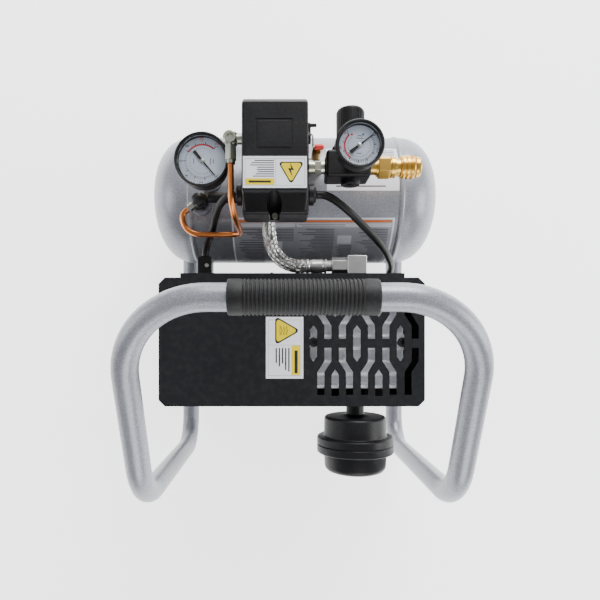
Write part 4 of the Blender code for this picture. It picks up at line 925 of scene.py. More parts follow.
cast_bright = worked("machined_casting", (0.92, 0.93, 0.97), (0.72, 0.73, 0.77), 0.4, 0.38, grain=0.2,
    metallic=0.2)
cast_rough = worked("rough_casting", (0.46, 0.46, 0.47), (0.34, 0.34, 0.35), 0.5, 0.42, grain=0.6,
    scale=700.0, metallic=0.8)
bright_steel = worked("bright_steel", (0.70, 0.70, 0.69), (0.50, 0.49, 0.46), 0.50, 0.24, grain=0.12)
lamination_steel = worked("lamination_steel", (0.24, 0.24, 0.26), (0.12, 0.10, 0.09), 0.6, 0.42,
    grain=0.3, metallic=0.8)

head_block_low, head_block_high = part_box("cylinder_head")
cylinder_x = (head_block_low.x + head_block_high.x) / 2
pump_y = (head_block_low.y + head_block_high.y) / 2
head_base, head_top = head_block_low.z, head_block_high.z

# The fins are one row of plates from a Geometry Nodes tree.
fin_tree, fin = new_tree("fin_row", Size="Vector", Count="Int", First="Vector", Pitch="Vector",
    Metal="Material")
plate = add_node(fin_tree, "GeometryNodeMeshCube", {"Size": fin["Size"]})
fin_line = add_node(fin_tree, "GeometryNodeMeshLine",
    {"Count": fin["Count"], "Start Location": fin["First"], "Offset": fin["Pitch"]})
end_tree(fin_tree, add_node(fin_tree, "GeometryNodeInstanceOnPoints",
    {"Points": fin_line, "Instance": plate}), fin["Metal"])

fin_pitch, fin_count, fin_thick = 0.0132, 8, 0.0026
fin_low_z = head_base + 0.010
head_slab = soft_block((head_block_low.x, head_block_low.y, head_base),
    (head_block_high.x, head_block_high.y, head_top - 0.0090), cast_bright, 0.0015)
head_spine = soft_block((cylinder_x - 0.014, head_block_low.y + 0.004, head_base + 0.010),
    (cylinder_x + 0.014, head_block_high.y - 0.004, 0.214), cast_bright, 0.0010)
head_fins = soften(grow(fin_tree,
    {"Size": Vector((head_block_high.x - head_block_low.x - 0.002, fin_thick, head_top - fin_low_z)),
    "Count": fin_count, "Pitch": Vector((0, fin_pitch, 0)), "Metal": cast_bright,
    "First": Vector((cylinder_x, pump_y - (fin_count - 1) / 2 * fin_pitch, (head_top + fin_low_z) / 2))}),
    0.0004)
head_ribs = grow(fin_tree, {"Size": Vector((0.0010, 0.084, 0.0016)), "Count": 12,
    "Pitch": Vector((0.0078, 0, 0)), "Metal": cast_bright,
    "First": Vector((cylinder_x - 0.0429, pump_y, 0.2120))})
set_in_place("finned_head", [head_slab, head_spine, head_fins, head_ribs],
             ["cylinder_head"])
head_screw_places = [(cylinder_x + dx, pump_y, head_top - 0.0005) for dx in (-0.0455, 0.0455)]
head_pillars = [rod_shape("Z", (x, y, 0), fin_low_z, z + 0.0005, 0.0062, cast_bright, 32)
                for x, y, z in head_screw_places]
set_in_place("head_pillars", head_pillars)
set_in_place("head_screws", [bolts(head_screw_places, "+Z", 0.0050, 0.0046, black_steel, 40, 0.55)])

barrel_low, barrel_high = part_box("cylinder")
barrel_centre = (cylinder_x, pump_y, 0)
barrel_profile = [(barrel_low.z, 0.0256), (barrel_low.z, 0.0315)]
for fin in range(3):
    low = barrel_low.z + 0.008 + fin * 0.010
    barrel_profile += [(low, 0.0295), (low + 0.0003, 0.0352), (low + 0.0008, 0.0355),
        (low + 0.0022, 0.0355), (low + 0.0027, 0.0352), (low + 0.0030, 0.0295)]
barrel_profile += [(barrel_high.z, 0.0295), (barrel_high.z, 0.0256)]
set_in_place("finned_cylinder", [spin_profile("Z", barrel_centre, barrel_profile, 72, cast_rough)],
    ["cylinder"])

shaft_z = 0.100
pump_axis = (0, pump_y, shaft_z)
casing = spin_profile("X", pump_axis, ((-0.090, 0), (-0.090, 0.0368), (-0.0888, 0.038), (-0.024, 0.038),
    (-0.024, 0.0568), (-0.0228, 0.058), (0.0628, 0.058), (0.064, 0.0568), (0.064, 0)), 96, cast_rough)
casing_neck = block_shape((cylinder_x - 0.0310, pump_y - 0.0315, 0.118),
    (cylinder_x + 0.0310, pump_y + 0.0315, barrel_low.z - 0.0003), cast_rough)
casing_foot = block_shape((-0.030, pump_y - 0.042, 0.0408), (0.056, pump_y + 0.042, 0.0475), cast_rough)
casing = work(casing, [casing_neck, casing_foot], "UNION")
casing_hollow = spin_profile("X", pump_axis, ((-0.100, 0), (-0.100, 0.032), (-0.034, 0.032),
    (-0.034, 0.0078), (-0.018, 0.0078), (-0.018, 0.055), (0.070, 0.055), (0.070, 0)), 96, cast_rough)
casing_bore = rod_shape("Z", (cylinder_x, pump_y, 0), 0.105, 0.150, 0.0255, cast_rough, 64)
casing = work(casing, [casing_hollow, casing_bore], "DIFFERENCE")
set_in_place("crankcase_skin", [soften(casing, 0.0007, 2, 40)], ["crankcase"])
mount_low, mount_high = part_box("pump_mount")
set_in_place("rubber_mount", [soft_block(mount_low, mount_high, soft_black, 0.0012)],
    ["pump_mount"])
copper_wire = worked("copper", (0.80, 0.27, 0.08), (0.48, 0.14, 0.04), 0.5, 0.22, grain=0.08)
stator = spin_profile("X", pump_axis, ((-0.006, 0.0305), (-0.006, 0.0547), (0.042, 0.0547),
    (0.042, 0.0305)), 96, lamination_steel)
coil_ends = ((0.0415, 0.047, 0.052), (-0.0055, -0.010, -0.014))
coils = [spin_profile("X", pump_axis, ((near, 0.034), (near, 0.046), (middle, 0.0475), (far, 0.044),
    (far, 0.034)), 96, copper_wire) for near, middle, far in coil_ends]
set_in_place("motor_windings", [stator] + coils, ["motor_stator"])

crank_z = shaft_z + 0.005
shaft = spin_profile("X", pump_axis, ((-0.1165, 0), (-0.1165, 0.0052), (-0.1157, 0.006), (-0.008, 0.006),
    (-0.008, 0.0290), (0.044, 0.0290), (0.044, 0.006), (0.070, 0.006), (0.070, 0)), 64, bright_steel)
crank_disc = rod_shape("X", (0, pump_y, crank_z), cylinder_x - 0.008, cylinder_x + 0.008, 0.0118,
    bright_steel, 48)
balance = soft_block((cylinder_x + 0.0095, pump_y - 0.012, shaft_z - 0.024),
    (cylinder_x + 0.0155, pump_y + 0.012, shaft_z + 0.004), bright_steel, 0.0008)
set_in_place("rotor_skin", [shaft, crank_disc, balance], ["rotor_shaft"], "rotor")
rod_eye = spin_profile("X", (0, pump_y, crank_z), ((cylinder_x - 0.007, 0.0124),
    (cylinder_x - 0.007, 0.0172), (cylinder_x - 0.0062, 0.018), (cylinder_x + 0.0062, 0.018),
    (cylinder_x + 0.007, 0.0172), (cylinder_x + 0.007, 0.0124)), 64, cast_rough)
rod_shank = soft_block((cylinder_x - 0.004, pump_y - 0.006, crank_z + 0.0165),
    (cylinder_x + 0.004, pump_y + 0.006, 0.1650), cast_rough, 0.0008)
piston = spin_profile("Z", (cylinder_x, pump_y, 0), ((0.164, 0), (0.164, 0.0189), (0.1646, 0.0195),
    (0.1704, 0.0195), (0.171, 0.0189), (0.171, 0)), 64, cast_rough)
set_in_place("rod_and_piston", [rod_eye, rod_shank, piston], ["connecting_rod"],
    "piston_rod")

# The fan: a hub with seven set blades, each blade a plate turned to its angle.
fan_parts = [spin_profile("X", pump_axis, ((-0.1145, 0.0063), (-0.1145, 0.0112), (-0.1137, 0.012),
    (-0.1008, 0.012), (-0.1000, 0.0112), (-0.1000, 0.0063)), 56, satin_black)]
for index in range(7):
    blade = soft_block((-0.1135, -0.0095, 0.0105), (-0.1117, 0.0095, 0.040), satin_black, 0.0006)
    blade.data.transform(Matrix.Translation((0.1070, 0, 0)))
    blade.data.transform(Matrix.Rotation(math.radians(32), 4, "Z"))
    round_shaft = Matrix.Rotation(2 * math.pi * index / 7, 4, "X")
    blade.data.transform(Matrix.Translation((-0.1045, pump_y, shaft_z)) @ round_shaft)
    fan_parts.append(blade)
set_in_place("fan_skin", fan_parts, ["cooling_fan"], "rotor")
can_low, can_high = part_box("capacitor")
can_x, can_y = (can_low.x + can_high.x) / 2, (can_low.y + can_high.y) / 2
can_radius = (can_high.y - can_low.y) / 2 * 0.995
set_in_place("capacitor_can", [spin_profile("Z", (can_x, can_y, 0), (
    (can_low.z, 0), (can_low.z, can_radius), (can_high.z - 0.002, can_radius),
    (can_high.z, can_radius - 0.002), (can_high.z, 0)), 56, satin_black)], ["capacitor"])


# ------------------------------------------------------------------------------- air filter
# A two-part moulded canister on the head's inlet, its cap pressed on over a lip and open at the far
# end, with a foam ring inside.

filter_low, filter_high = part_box("filter_base")
cap_low, cap_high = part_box("filter_cap")
filter_spot = ((cap_low.x + cap_high.x) / 2, 0, (cap_low.z + cap_high.z) / 2)
can_start, split, cap_end, body_radius, ring_radius = 0.1253, filter_high.y, cap_high.y, 0.033, 0.0407
inner = body_radius - 0.0025
base_profile = ((filter_low.y, 0.006), (filter_low.y, 0.0095), (can_start - 0.0030, 0.0095),
    (can_start - 0.0018, 0.0102), (can_start, 0.0150), (can_start, body_radius - 0.0032),
    (can_start + 0.0006, body_radius - 0.0014), (can_start + 0.0018, body_radius - 0.0003),
    (can_start + 0.0030, body_radius), (0.1452, body_radius + 0.0003), (0.1462, body_radius + 0.0010),
    (0.1466, ring_radius - 0.0014), (0.1472, ring_radius - 0.0005), (0.1482, ring_radius),
    (split - 0.0006, ring_radius), (split, ring_radius - 0.0006), (split, inner),
    (can_start + 0.0025, inner), (can_start + 0.0025, 0.006))
set_in_place("filter_canister", [spin_profile("Y", filter_spot, base_profile, 112, satin_black)],
    ["filter_base"], sharp=38)
lip = cap_low.y
cap_profile = ((lip, inner), (lip, ring_radius - 0.0006), (lip + 0.0006, ring_radius), (0.1623, ring_radius),
               (0.1633, ring_radius - 0.0005), (0.1639, ring_radius - 0.0014), (0.1643, body_radius + 0.0012),
               (0.1652, body_radius + 0.0002), (cap_end - 0.0062, body_radius - 0.0004),
               (cap_end - 0.0035, body_radius - 0.0014), (cap_end - 0.0014, body_radius - 0.0034),
               (cap_end - 0.0003, body_radius - 0.0062), (cap_end, body_radius - 0.0090),
               (cap_end, 0.0128), (cap_end - 0.0008, 0.0120), (cap_end - 0.0025, 0.0120),
               (cap_end - 0.0025, inner - 0.002))
set_in_place("filter_cap_skin", [spin_profile("Y", filter_spot, cap_profile, 112, satin_black)],
    ["filter_cap"], sharp=38)
open_foam = moulded("open_foam", (0.16, 0.15, 0.13), (0.26, 0.25, 0.22), 0.7, grain=1.0, scale=900.0)
foam_low, foam_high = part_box("filter_element")
foam_radius = (foam_high.z - foam_low.z) / 2 * 0.99
set_in_place("filter_foam_ring", [spin_profile("Y", filter_spot, (
    (foam_low.y, 0.013), (foam_low.y, foam_radius), (foam_high.y, foam_radius), (foam_high.y, 0.013)),
    64, open_foam)], ["filter_element"])


# ------------------------------------------------------------------ discharge elbow and hose
# The air leaves the head by a plated elbow block, a hose nut and a crimped ferrule, and runs through a
# braided steel hose to the swivel nut of the black pipe on the tank.

elbow_low, elbow_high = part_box("discharge_elbow")
nut_low, nut_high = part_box("hose_nut")
elbow_y, elbow_z = elbow_low.y + 0.0105, (elbow_low.z + elbow_high.z) / 2
elbow = soft_block((elbow_low.x, elbow_low.y, elbow_low.z), (elbow_high.x, elbow_y + 0.0105,
    elbow_high.z), bright_steel, 0.0009, 3)
elbow_leg = rod_shape("Y", (outlet_x, 0, elbow_z), elbow_y, elbow_high.y, 0.0062, bright_steel, 40)
elbow_rim = spin_profile("Z", (outlet_x, elbow_y, 0), ((elbow_high.z - 0.0002, 0.0026),
    (elbow_high.z + 0.0004, 0.0026), (elbow_high.z + 0.0004, 0.0036), (elbow_high.z - 0.0002, 0.0036)),
    40, bright_steel)
set_in_place("elbow_skin", [elbow, elbow_leg, elbow_rim], ["discharge_elbow"])
hex_end = nut_low.x + 0.0155
nut_hex = hexagon("X", (0, elbow_y, elbow_z), nut_low.x, hex_end, 0.0098, bright_steel, 0.0006)
ferrule = spin_profile("X", (0, elbow_y, elbow_z), ((hex_end - 0.001, 0), (hex_end - 0.001, 0.0085),
    (hex_end + 0.0006, 0.0082), (hex_end + 0.0010, 0.0060), (hex_end + 0.0055, 0.0060),
    (hex_end + 0.0062, 0.0078), (hex_end + 0.0075, 0.0078), (hex_end + 0.0082, 0.0070),
    (hex_end + 0.0095, 0.0068), (hex_end + 0.0105, 0.0076), (nut_high.x - 0.0060, 0.0076),
    (nut_high.x - 0.0050, 0.0070), (nut_high.x - 0.0035, 0.0070), (nut_high.x - 0.0025, 0.0077),
    (nut_high.x - 0.0006, 0.0077), (nut_high.x, 0.0070), (nut_high.x, 0)), 56, bright_steel)
set_in_place("hose_nut_skin", [nut_hex, ferrule], ["hose_nut"])


def smooth_route(corners, spacing):
    """A curve through the corners, evenly stepped; the ends keep the direction of their first leg."""
    points = [corners[0] * 2 - corners[1]] + list(corners) + [corners[-1] * 2 - corners[-2]]
    route = [corners[0].copy()]
    for index in range(1, len(points) - 2):
        a, b, c, d = points[index - 1:index + 3]
        steps = max(2, round((c - b).length / spacing))
        for step in range(1, steps + 1):
            t = step / steps
            route.append(0.5 * ((2 * b) + (c - a) * t + (2 * a - 5 * b + 4 * c - d) * t * t
                + (3 * b - a - 3 * c + d) * t ** 3))
    return route


# The braid: two families of flat strands wound against each other, each passing over and under.
braid_tree, braid = new_tree("braid", Route="Geometry", Strands="Int", Bundles="Int", Turns="Float",
    Radius="Float", Weave="Float", Thickness="Vector", Steps="Int", Wire="Material")


def braid_vector(operation, *values):
    places = (0, "Scale") if operation == "SCALE" else (0, 1)
    return add_node(braid_tree, "ShaderNodeVectorMath", zip(places, values), operation=operation)


path = add_node(braid_tree, "GeometryNodeMeshToCurve", {"Mesh": braid["Route"]})
strand = add_node(braid_tree, "GeometryNodeResampleCurve", {
    "Curve": add_node(braid_tree, "GeometryNodeCurvePrimitiveLine"), "Count": braid["Steps"]})
many = braid_tree.nodes.new("GeometryNodeDuplicateElements")
many.domain = "SPLINE"
braid_tree.links.new(strand, many.inputs["Geometry"])
braid_tree.links.new(braid["Strands"], many.inputs["Amount"])
along = add_node(braid_tree, "GeometryNodeSplineParameter")
sample = braid_tree.nodes.new("GeometryNodeSampleCurve")
sample.mode = "FACTOR"
braid_tree.links.new(path, sample.inputs["Curves"])
braid_tree.links.new(along, sample.inputs["Factor"])
wound = reckon(braid_tree, "MULTIPLY", along, braid["Turns"])
share = reckon(braid_tree, "DIVIDE", many.outputs["Duplicate Index"], braid["Strands"])
carrier = reckon(braid_tree, "MULTIPLY", share, braid["Bundles"])
bundle = reckon(braid_tree, "FLOOR", carrier)
in_bundle = reckon(braid_tree, "SUBTRACT", carrier, bundle)
bunched = reckon(braid_tree, "DIVIDE", reckon(braid_tree, "MULTIPLY_ADD", in_bundle, 0.76, bundle),
    braid["Bundles"])
around = reckon(braid_tree, "MULTIPLY", reckon(braid_tree, "ADD", bunched, wound), 2 * math.pi)
crossed = reckon(braid_tree, "MULTIPLY_ADD", reckon(braid_tree, "MULTIPLY", wound, braid["Bundles"]), 2.0,
                 reckon(braid_tree, "ADD", carrier, bundle))
over = reckon(braid_tree, "COSINE", reckon(braid_tree, "MULTIPLY", crossed, math.pi))
out_by = reckon(braid_tree, "MULTIPLY_ADD", over, braid["Weave"], braid["Radius"])
beside = braid_vector("CROSS_PRODUCT", sample.outputs["Tangent"], sample.outputs["Normal"])
out_normal = reckon(braid_tree, "MULTIPLY", out_by, reckon(braid_tree, "COSINE", around))
out_beside = reckon(braid_tree, "MULTIPLY", out_by, reckon(braid_tree, "SINE", around))
offset = braid_vector("ADD", braid_vector("SCALE", sample.outputs["Normal"], out_normal),
    braid_vector("SCALE", beside, out_beside))
moved = add_node(braid_tree, "GeometryNodeSetPosition", {"Geometry": many.outputs["Geometry"],
    "Position": braid_vector("ADD", sample.outputs["Position"], offset)})
wire_ring = add_node(braid_tree, "GeometryNodeTransform", {
    "Geometry": add_node(braid_tree, "GeometryNodeCurvePrimitiveCircle", {"Resolution": 5, "Radius": 1.0}),
    "Scale": braid["Thickness"]})
end_tree(braid_tree, add_node(braid_tree, "GeometryNodeCurveToMesh", {
    "Curve": moved, "Profile Curve": wire_ring, "Fill Caps": True}), braid["Wire"])

hose_y, hose_z, line_z = elbow_y, elbow_z, 0.198
hose_corners = [Vector((x, hose_y - back, z)) for x, back, z in (
    (nut_high.x + 0.0001, 0, hose_z), (0.0010, 0, hose_z), (0.0130, 0.0042, hose_z), (0.0215, 0.0120, hose_z),
    (0.0268, 0.0225, hose_z), (0.0290, 0.0350, hose_z), (0.0298, 0.0460, line_z), (0.0298, 0.0520, line_z))]
hose_route = smooth_route(hose_corners, 0.0012)
hose_strands = [grow(braid_tree, {"Strands": 32, "Bundles": 8, "Turns": turns, "Radius": 0.0065,
    "Weave": weave, "Thickness": Vector((0.00042, 0.00042, 1)), "Steps": 150, "Wire": bright_steel},
    [tuple(point) for point in hose_route], True) for turns, weave in ((1.9, 0.00045), (-1.9, -0.00045))]
hose_core = draw_tube(hose_route, 0.0059, 32, soft_black)
set_in_place("braided_hose", [hose_core] + hose_strands, ["discharge_hose"], sharp=60)


# ---------------------------------------------------------------------- pipe and check valve
# A black pipe with a swivel nut leads along the tank to a blackened check valve screwed into it.

pipe_low, pipe_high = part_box("discharge_pipe")
valve_x, valve_y, pipe_y = 0.105, -0.106, -0.109
swivel = hexagon("Y", (0.0298, 0, line_z), pipe_y, pipe_high.y, 0.0080, black_steel, 0.0006)
line = spin_profile("X", (0, pipe_y, line_z), ((pipe_low.x, 0), (pipe_low.x, 0.0048),
    (pipe_low.x + 0.0010, 0.0058), (pipe_high.x, 0.0058), (pipe_high.x, 0)), 48, black_coat)
set_in_place("black_pipe", [swivel, line], ["discharge_pipe"])
check_body = spin_profile("Z", (valve_x, valve_y, 0), (
    (0.1780, 0), (0.1780, 0.0075), (0.1925, 0.0075), (0.1930, 0.0078), (0.2020, 0.0078), (0.2030, 0.0074),
    (0.2050, 0.0064), (0.2062, 0.0040), (0.2066, 0)), 48, black_steel)
check_hex = hexagon("Z", (valve_x, valve_y, 0), 0.1850, 0.1930, 0.0100, black_steel)
port = rod_shape("Z", (0, 0, 0), 0, 0.0138, 0.0046, zinc_plate, 6)
port_turn = Vector((0, 0, 1)).rotation_difference(Vector((0.78, 0.62, 0))).to_matrix().to_4x4()
port.data.transform(Matrix.Translation((valve_x, valve_y, 0.197)) @ port_turn)
set_in_place("check_valve", [check_body, check_hex, soften(port, 0.0004)], ["check_valve_body"])


# --------------------------------------------------------------------- unloader and its tube A
# small plated valve on the side of the switch lets the pump start unloaded.

unload_low, unload_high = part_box("unloader_valve")
unload_x, unload_y, unload_z = 0.0640, -0.146, 0.268
stem = rod_shape("X", (0, unload_y, unload_z), unload_low.x, unload_x + 0.003, 0.0052, zinc_plate, 40)
valve = spin_profile("Z", (unload_x, unload_y, 0), ((unload_z - 0.0080, 0), (unload_z - 0.0080, 0.0060),
    (unload_z - 0.0073, 0.0066), (unload_z + 0.0030, 0.0074), (unload_z + 0.0042, 0.0072),
    (unload_z + 0.0050, 0.0058), (unload_z + 0.0070, 0.0052), (unload_z + 0.0070, 0.0034),
    (unload_z + 0.0055, 0.0030), (unload_z + 0.0055, 0)), 48, zinc_plate)
flare_nut = hexagon("Y", (unload_x, 0, unload_z), unload_y + 0.0055, unload_high.y - 0.0035, 0.0058,
    zinc_plate)
flare_neck = rod_shape("Y", (unload_x, 0, unload_z), unload_y, unload_high.y, 0.0042, zinc_plate, 32)
set_in_place("unloader_skin", [stem, valve, flare_nut, flare_neck], ["unloader_valve"])
tube_corners = [Vector(corner) for corner in ((0.0640, -0.1222, 0.2680), (0.0640, -0.1050, 0.2680),
    (0.0636, -0.0900, 0.2670), (0.0622, -0.0790, 0.2580), (0.0608, -0.0735, 0.2400),
    (0.0598, -0.0710, 0.2200), (0.0604, -0.0695, 0.2060), (0.0670, -0.0690, 0.1995),
    (0.0800, -0.0690, 0.1985), (0.0960, -0.0690, 0.1980), (0.1080, -0.0700, 0.1975),
    (0.1170, -0.0745, 0.1972), (0.1218, -0.0820, 0.1970), (0.1226, -0.0890, 0.1970),
    (0.1205, -0.0935, 0.1970), (0.1172, -0.0963, 0.1970))]
set_in_place("copper_tube", [draw_tube(smooth_route(tube_corners, 0.0015), 0.0030, 32, copper_wire)],
    ["unloader_tube"])


# -------------------------------------------------------------------------- pressure switch
# A black moulded switch box on a plated riser: a base with the wiring, a tall cover with a shallow
# panel on top, and a small lever on its side.

switch_low, switch_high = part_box("switch_cover")
switch_base_low, switch_base_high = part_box("switch_base")
switch_x = (switch_low.x + switch_high.x) / 2
rear_y, front_y, top_z, skirt_z = switch_high.y, switch_low.y, switch_high.z, switch_low.z
riser_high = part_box("switch_riser")[1]
riser = spin_profile("Z", (switch_x, tank_y - 0.008, 0), (
    (0.1830, 0), (0.1830, 0.0095), (0.1925, 0.0095), (0.1925, 0.0110), (riser_high.z, 0.0110),
    (riser_high.z, 0)), 48, zinc_plate)
riser_hex = hexagon("Z", (switch_x, tank_y - 0.008, 0), 0.1935, riser_high.z - 0.001, 0.0125, zinc_plate)
set_in_place("riser_skin", [riser, riser_hex], ["switch_riser"])
well_x, well_y, well_z, well_radius = switch_x + 0.0007, -0.0850, 0.222, 0.0072
switch_foot = soft_block(switch_base_low, switch_base_high, satin_black, 0.0032, 4)
work(switch_foot, [rod_shape("Z", (well_x, well_y, 0), well_z, top_z + 0.01, well_radius, satin_black, 48)],
     "DIFFERENCE")
set_in_place("switch_foot", [switch_foot], ["switch_base"])
hood_side = ((front_y + 0.001, skirt_z), (rear_y, skirt_z), (rear_y - 0.0100, top_z - 0.001),
             (rear_y - 0.0125, top_z), (front_y + 0.004, top_z), (front_y, top_z - 0.004))
hood = soften(prism_shape("X", hood_side, switch_low.x, switch_high.x, satin_black), 0.0030, 4, 50)
hood_cuts = [rod_shape("Z", (well_x, well_y, 0), well_z, top_z + 0.01, well_radius, satin_black, 48)]
hood_cuts.append(block_shape((switch_low.x + 0.0025, front_y + 0.0035, skirt_z - 0.01),
    (switch_high.x - 0.0025, rear_y - 0.020, top_z - 0.003), satin_black))
panel_x, panel_front, panel_rear = switch_x + 0.0005, front_y + 0.0190, front_y + 0.0465
panel_half = 0.0168
hood_cuts.append(block_shape((panel_x - panel_half, panel_front, top_z - 0.0006),
    (panel_x + panel_half, panel_rear, top_z + 0.01), satin_black))
hood = work(hood, hood_cuts, "DIFFERENCE")
panel_pad = soft_block((panel_x - panel_half + 0.0016, panel_front + 0.0016, top_z - 0.002),
    (panel_x + panel_half - 0.0016, panel_rear - 0.0016, top_z - 0.0001), satin_black, 0.0004)
set_in_place("switch_hood", [hood, panel_pad], ["switch_cover"], sharp=30)
hood_screw = bolts([(well_x, well_y + 0.0014, well_z)], "+Z", 0.0034, 0.0024, zinc_plate, 40, 0.5)
set_in_place("switch_screw", [hood_screw])

# Its film: small print under a yellow bar to one side, and a yellow sign with a bolt mark.
print_rear, print_front = rear_y - 0.0131, rear_y - 0.0417
print_low, print_high = switch_low.x + 0.0014, switch_high.x - 0.0014
print_z = top_z + 0.00006
divide = print_low + (print_high - print_low) * 0.485
switch_film = [patch(print_low, print_high, print_front, print_rear, print_z, film_white)]
switch_film += frame_lines(print_low + 0.0018, print_high - 0.0018, print_front + 0.0022,
    print_rear - 0.0022, 0.00022, print_z + 0.00006, ink_grey)
switch_film.append(patch(divide, divide + 0.00022, print_front + 0.0022, print_rear - 0.0022,
    print_z + 0.00006, ink_grey))
switch_film.append(patch(divide + 0.0012, print_high - 0.0022, print_rear - 0.0086, print_rear - 0.0028,
    print_z + 0.00006, ink_yellow))
switch_film.append(small_print(divide + 0.0044, print_high - 0.0050, print_rear - 0.0068,
    print_rear - 0.0046, 1, print_z + 0.00012, ink_black, 6, 0.98, 0.9))
switch_film.append(small_print(divide + 0.0016, print_high - 0.0030, print_front + 0.0030,
    print_rear - 0.0096, 8, print_z + 0.00006, ink_black, 17, 0.55, 0.44))
mark_x, mark_y = (print_low + divide) / 2 + 0.0002, print_front + 0.0120
switch_film += sign(mark_x, mark_y, 0.0118, math.pi / 2, print_z + 0.00006)
bolt_plan = ((0.0012, -0.0066), (-0.0026, 0.0008), (0.0001, 0.0005), (-0.0014, 0.0074), (0.0028, -0.0012),
             (0.0001, -0.0010))
switch_film.append(prism_shape("Z", [(mark_x + a, mark_y + b) for a, b in bolt_plan], print_z + 0.00018,
    print_z + 0.00022, ink_black))
set_in_place("switch_film", switch_film)

lever_low, lever_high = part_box("switch_lever")
lever_y, lever_z, arm_end_y, knob_y = -0.146, 0.270, -0.160, -0.158
lever_disc = spin_profile("X", (0, lever_y, lever_z), ((lever_high.x - 0.003, 0),
    (lever_high.x - 0.003, 0.0048), (lever_high.x - 0.0024, 0.0055), (lever_high.x, 0.0055),
    (lever_high.x, 0)), 40, satin_black)
lever_arm = soft_block((lever_high.x - 0.003, arm_end_y, lever_z - 0.0018),
    (lever_high.x, lever_y, lever_z + 0.0018), satin_black, 0.0007)
lever_knob = spin_profile("X", (0, knob_y, lever_z), ((lever_low.x, 0), (lever_low.x, 0.0010),
    (lever_low.x + 0.0007, 0.0017), (lever_high.x - 0.002, 0.0017), (lever_high.x - 0.002, 0)), 24,
    satin_black)
set_in_place("lever_skin", [lever_disc, lever_arm, lever_knob], ["switch_lever"], "lever")


# ------------------------------------------------------------------- glands, leads and clamp
# Screwed cable glands on both sides of the switch: one black lead goes down to the motor through a
# grommet in the cover, the other is held by a moulded clamp on the cover's front edge.

gland_y, gland_z = -0.1016, 0.237
for name, side in (("motor_gland", -1), ("supply_gland", 1)):
    gland_low, gland_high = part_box(name)
    near, far = (gland_high.x, gland_low.x) if side < 0 else (gland_low.x, gland_high.x)
    cap = spin_profile("X", (0, gland_y, gland_z), (
        (near + side * 0.0040, 0), (near + side * 0.0040, 0.0090), (far - side * 0.0010, 0.0078),
        (far - side * 0.0004, 0.0064), (far, 0.0052), (far, 0)), 48, satin_black)
    ring = soften(rod_shape("X", (0, gland_y, gland_z), min(near, near + side * 0.005),
        max(near, near + side * 0.005), 0.0110, satin_black, 12), 0.0005)
    set_in_place(name + "_skin", [cap, ring], [name])
sheath_black = moulded("sheath_black", (0.006, 0.006, 0.006), (0.011, 0.011, 0.012), 0.36, grain=0.08,
    dust=0.02, scale=1500.0, Specular_IOR_Level=0.25)
motor_corners = [Vector(corner) for corner in ((-0.0192, -0.1016, 0.2370), (-0.0241, -0.1016, 0.2370),
    (-0.0310, -0.0996, 0.2378), (-0.0400, -0.0945, 0.2370), (-0.0520, -0.0862, 0.2325),
    (-0.0649, -0.0771, 0.2220), (-0.0834, -0.0640, 0.2050), (-0.0980, -0.0540, 0.1850),
    (-0.1070, -0.0475, 0.1650), (-0.1130, -0.0435, 0.1470), (-0.1158, -0.0410, 0.1320),
    (-0.1163, -0.0372, 0.1230), (-0.1163, -0.0328, 0.1186), (-0.1163, -0.0272, 0.1180))]
supply_corners = [Vector(corner) for corner in ((0.0621, -0.1016, 0.2370), (0.0665, -0.1016, 0.2368),
    (0.0728, -0.0992, 0.2320), (0.0800, -0.0945, 0.2220), (0.0860, -0.0870, 0.2070),
    (0.0905, -0.0790, 0.1920), (0.0940, -0.0700, 0.1840), (0.0975, -0.0610, 0.1850),
    (0.0988, -0.0525, 0.1886), (0.0990, -0.0459, 0.1890))]
for name, corners in (("motor_lead", motor_corners), ("supply_lead", supply_corners)):
    lead = draw_tube(smooth_route(corners, 0.0020), 0.0040, 36, sheath_black)
    set_in_place(name + "_sheath", [lead], [name])
grommet_low, grommet_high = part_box("cover_grommet")
grommet = spin_profile("Y", (lead_x, 0, 0.118), (
    (grommet_low.y, 0), (grommet_low.y, 0.0046), (grommet_low.y + 0.0010, 0.0053), (-0.0228, 0.0066),
    (-0.0202, 0.0066), (-0.0198, 0.0060), (-0.0198, 0.0048), (grommet_high.y, 0.0048), (grommet_high.y, 0)),
    48, soft_black)
set_in_place("grommet_skin", [grommet], ["cover_grommet"])
clamp_low, clamp_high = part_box("lead_clamp")
clamp_wall = cover_low.y - 0.0003
clamp_z = 0.189
clamp_block = soft_block((clamp_x - 0.0078, clamp_low.y, clamp_low.z),
    (clamp_x + 0.0078, clamp_wall, clamp_high.z), satin_black, 0.0016, 3)
clamp_flange = soft_block((clamp_low.x, clamp_wall - 0.004, clamp_z - 0.005),
    (clamp_high.x, clamp_wall, clamp_z + 0.005), satin_black, 0.0010, 3)
clamp_stub = rod_shape("Y", (clamp_x, 0, clamp_z), clamp_wall - 0.004, clamp_high.y, 0.0055,
    satin_black, 40)
clamp_lip = soft_block((clamp_x - 0.0045, clamp_low.y - 0.0010, clamp_z + 0.0015),
    (clamp_x + 0.0045, clamp_low.y + 0.004, clamp_z + 0.0075), satin_black, 0.0008)
set_in_place("lead_clamp_skin", [clamp_block, clamp_flange, clamp_stub, clamp_lip],
    ["lead_clamp"])
clamp_screw = bolts([(clamp_x - 0.0025, -0.0360, clamp_high.z)], "+Z", 0.0022, 0.0012, zinc_plate)
set_in_place("clamp_screw", [clamp_screw])


# ----------------------------------------------------------------------------------- gauges
# Two dial gauges: a black cup with a rolled bezel, a white printed dial, a needle on a plain hub under
# a clear lens, and a brass stem with a hexagon. Both dials are marked alike.

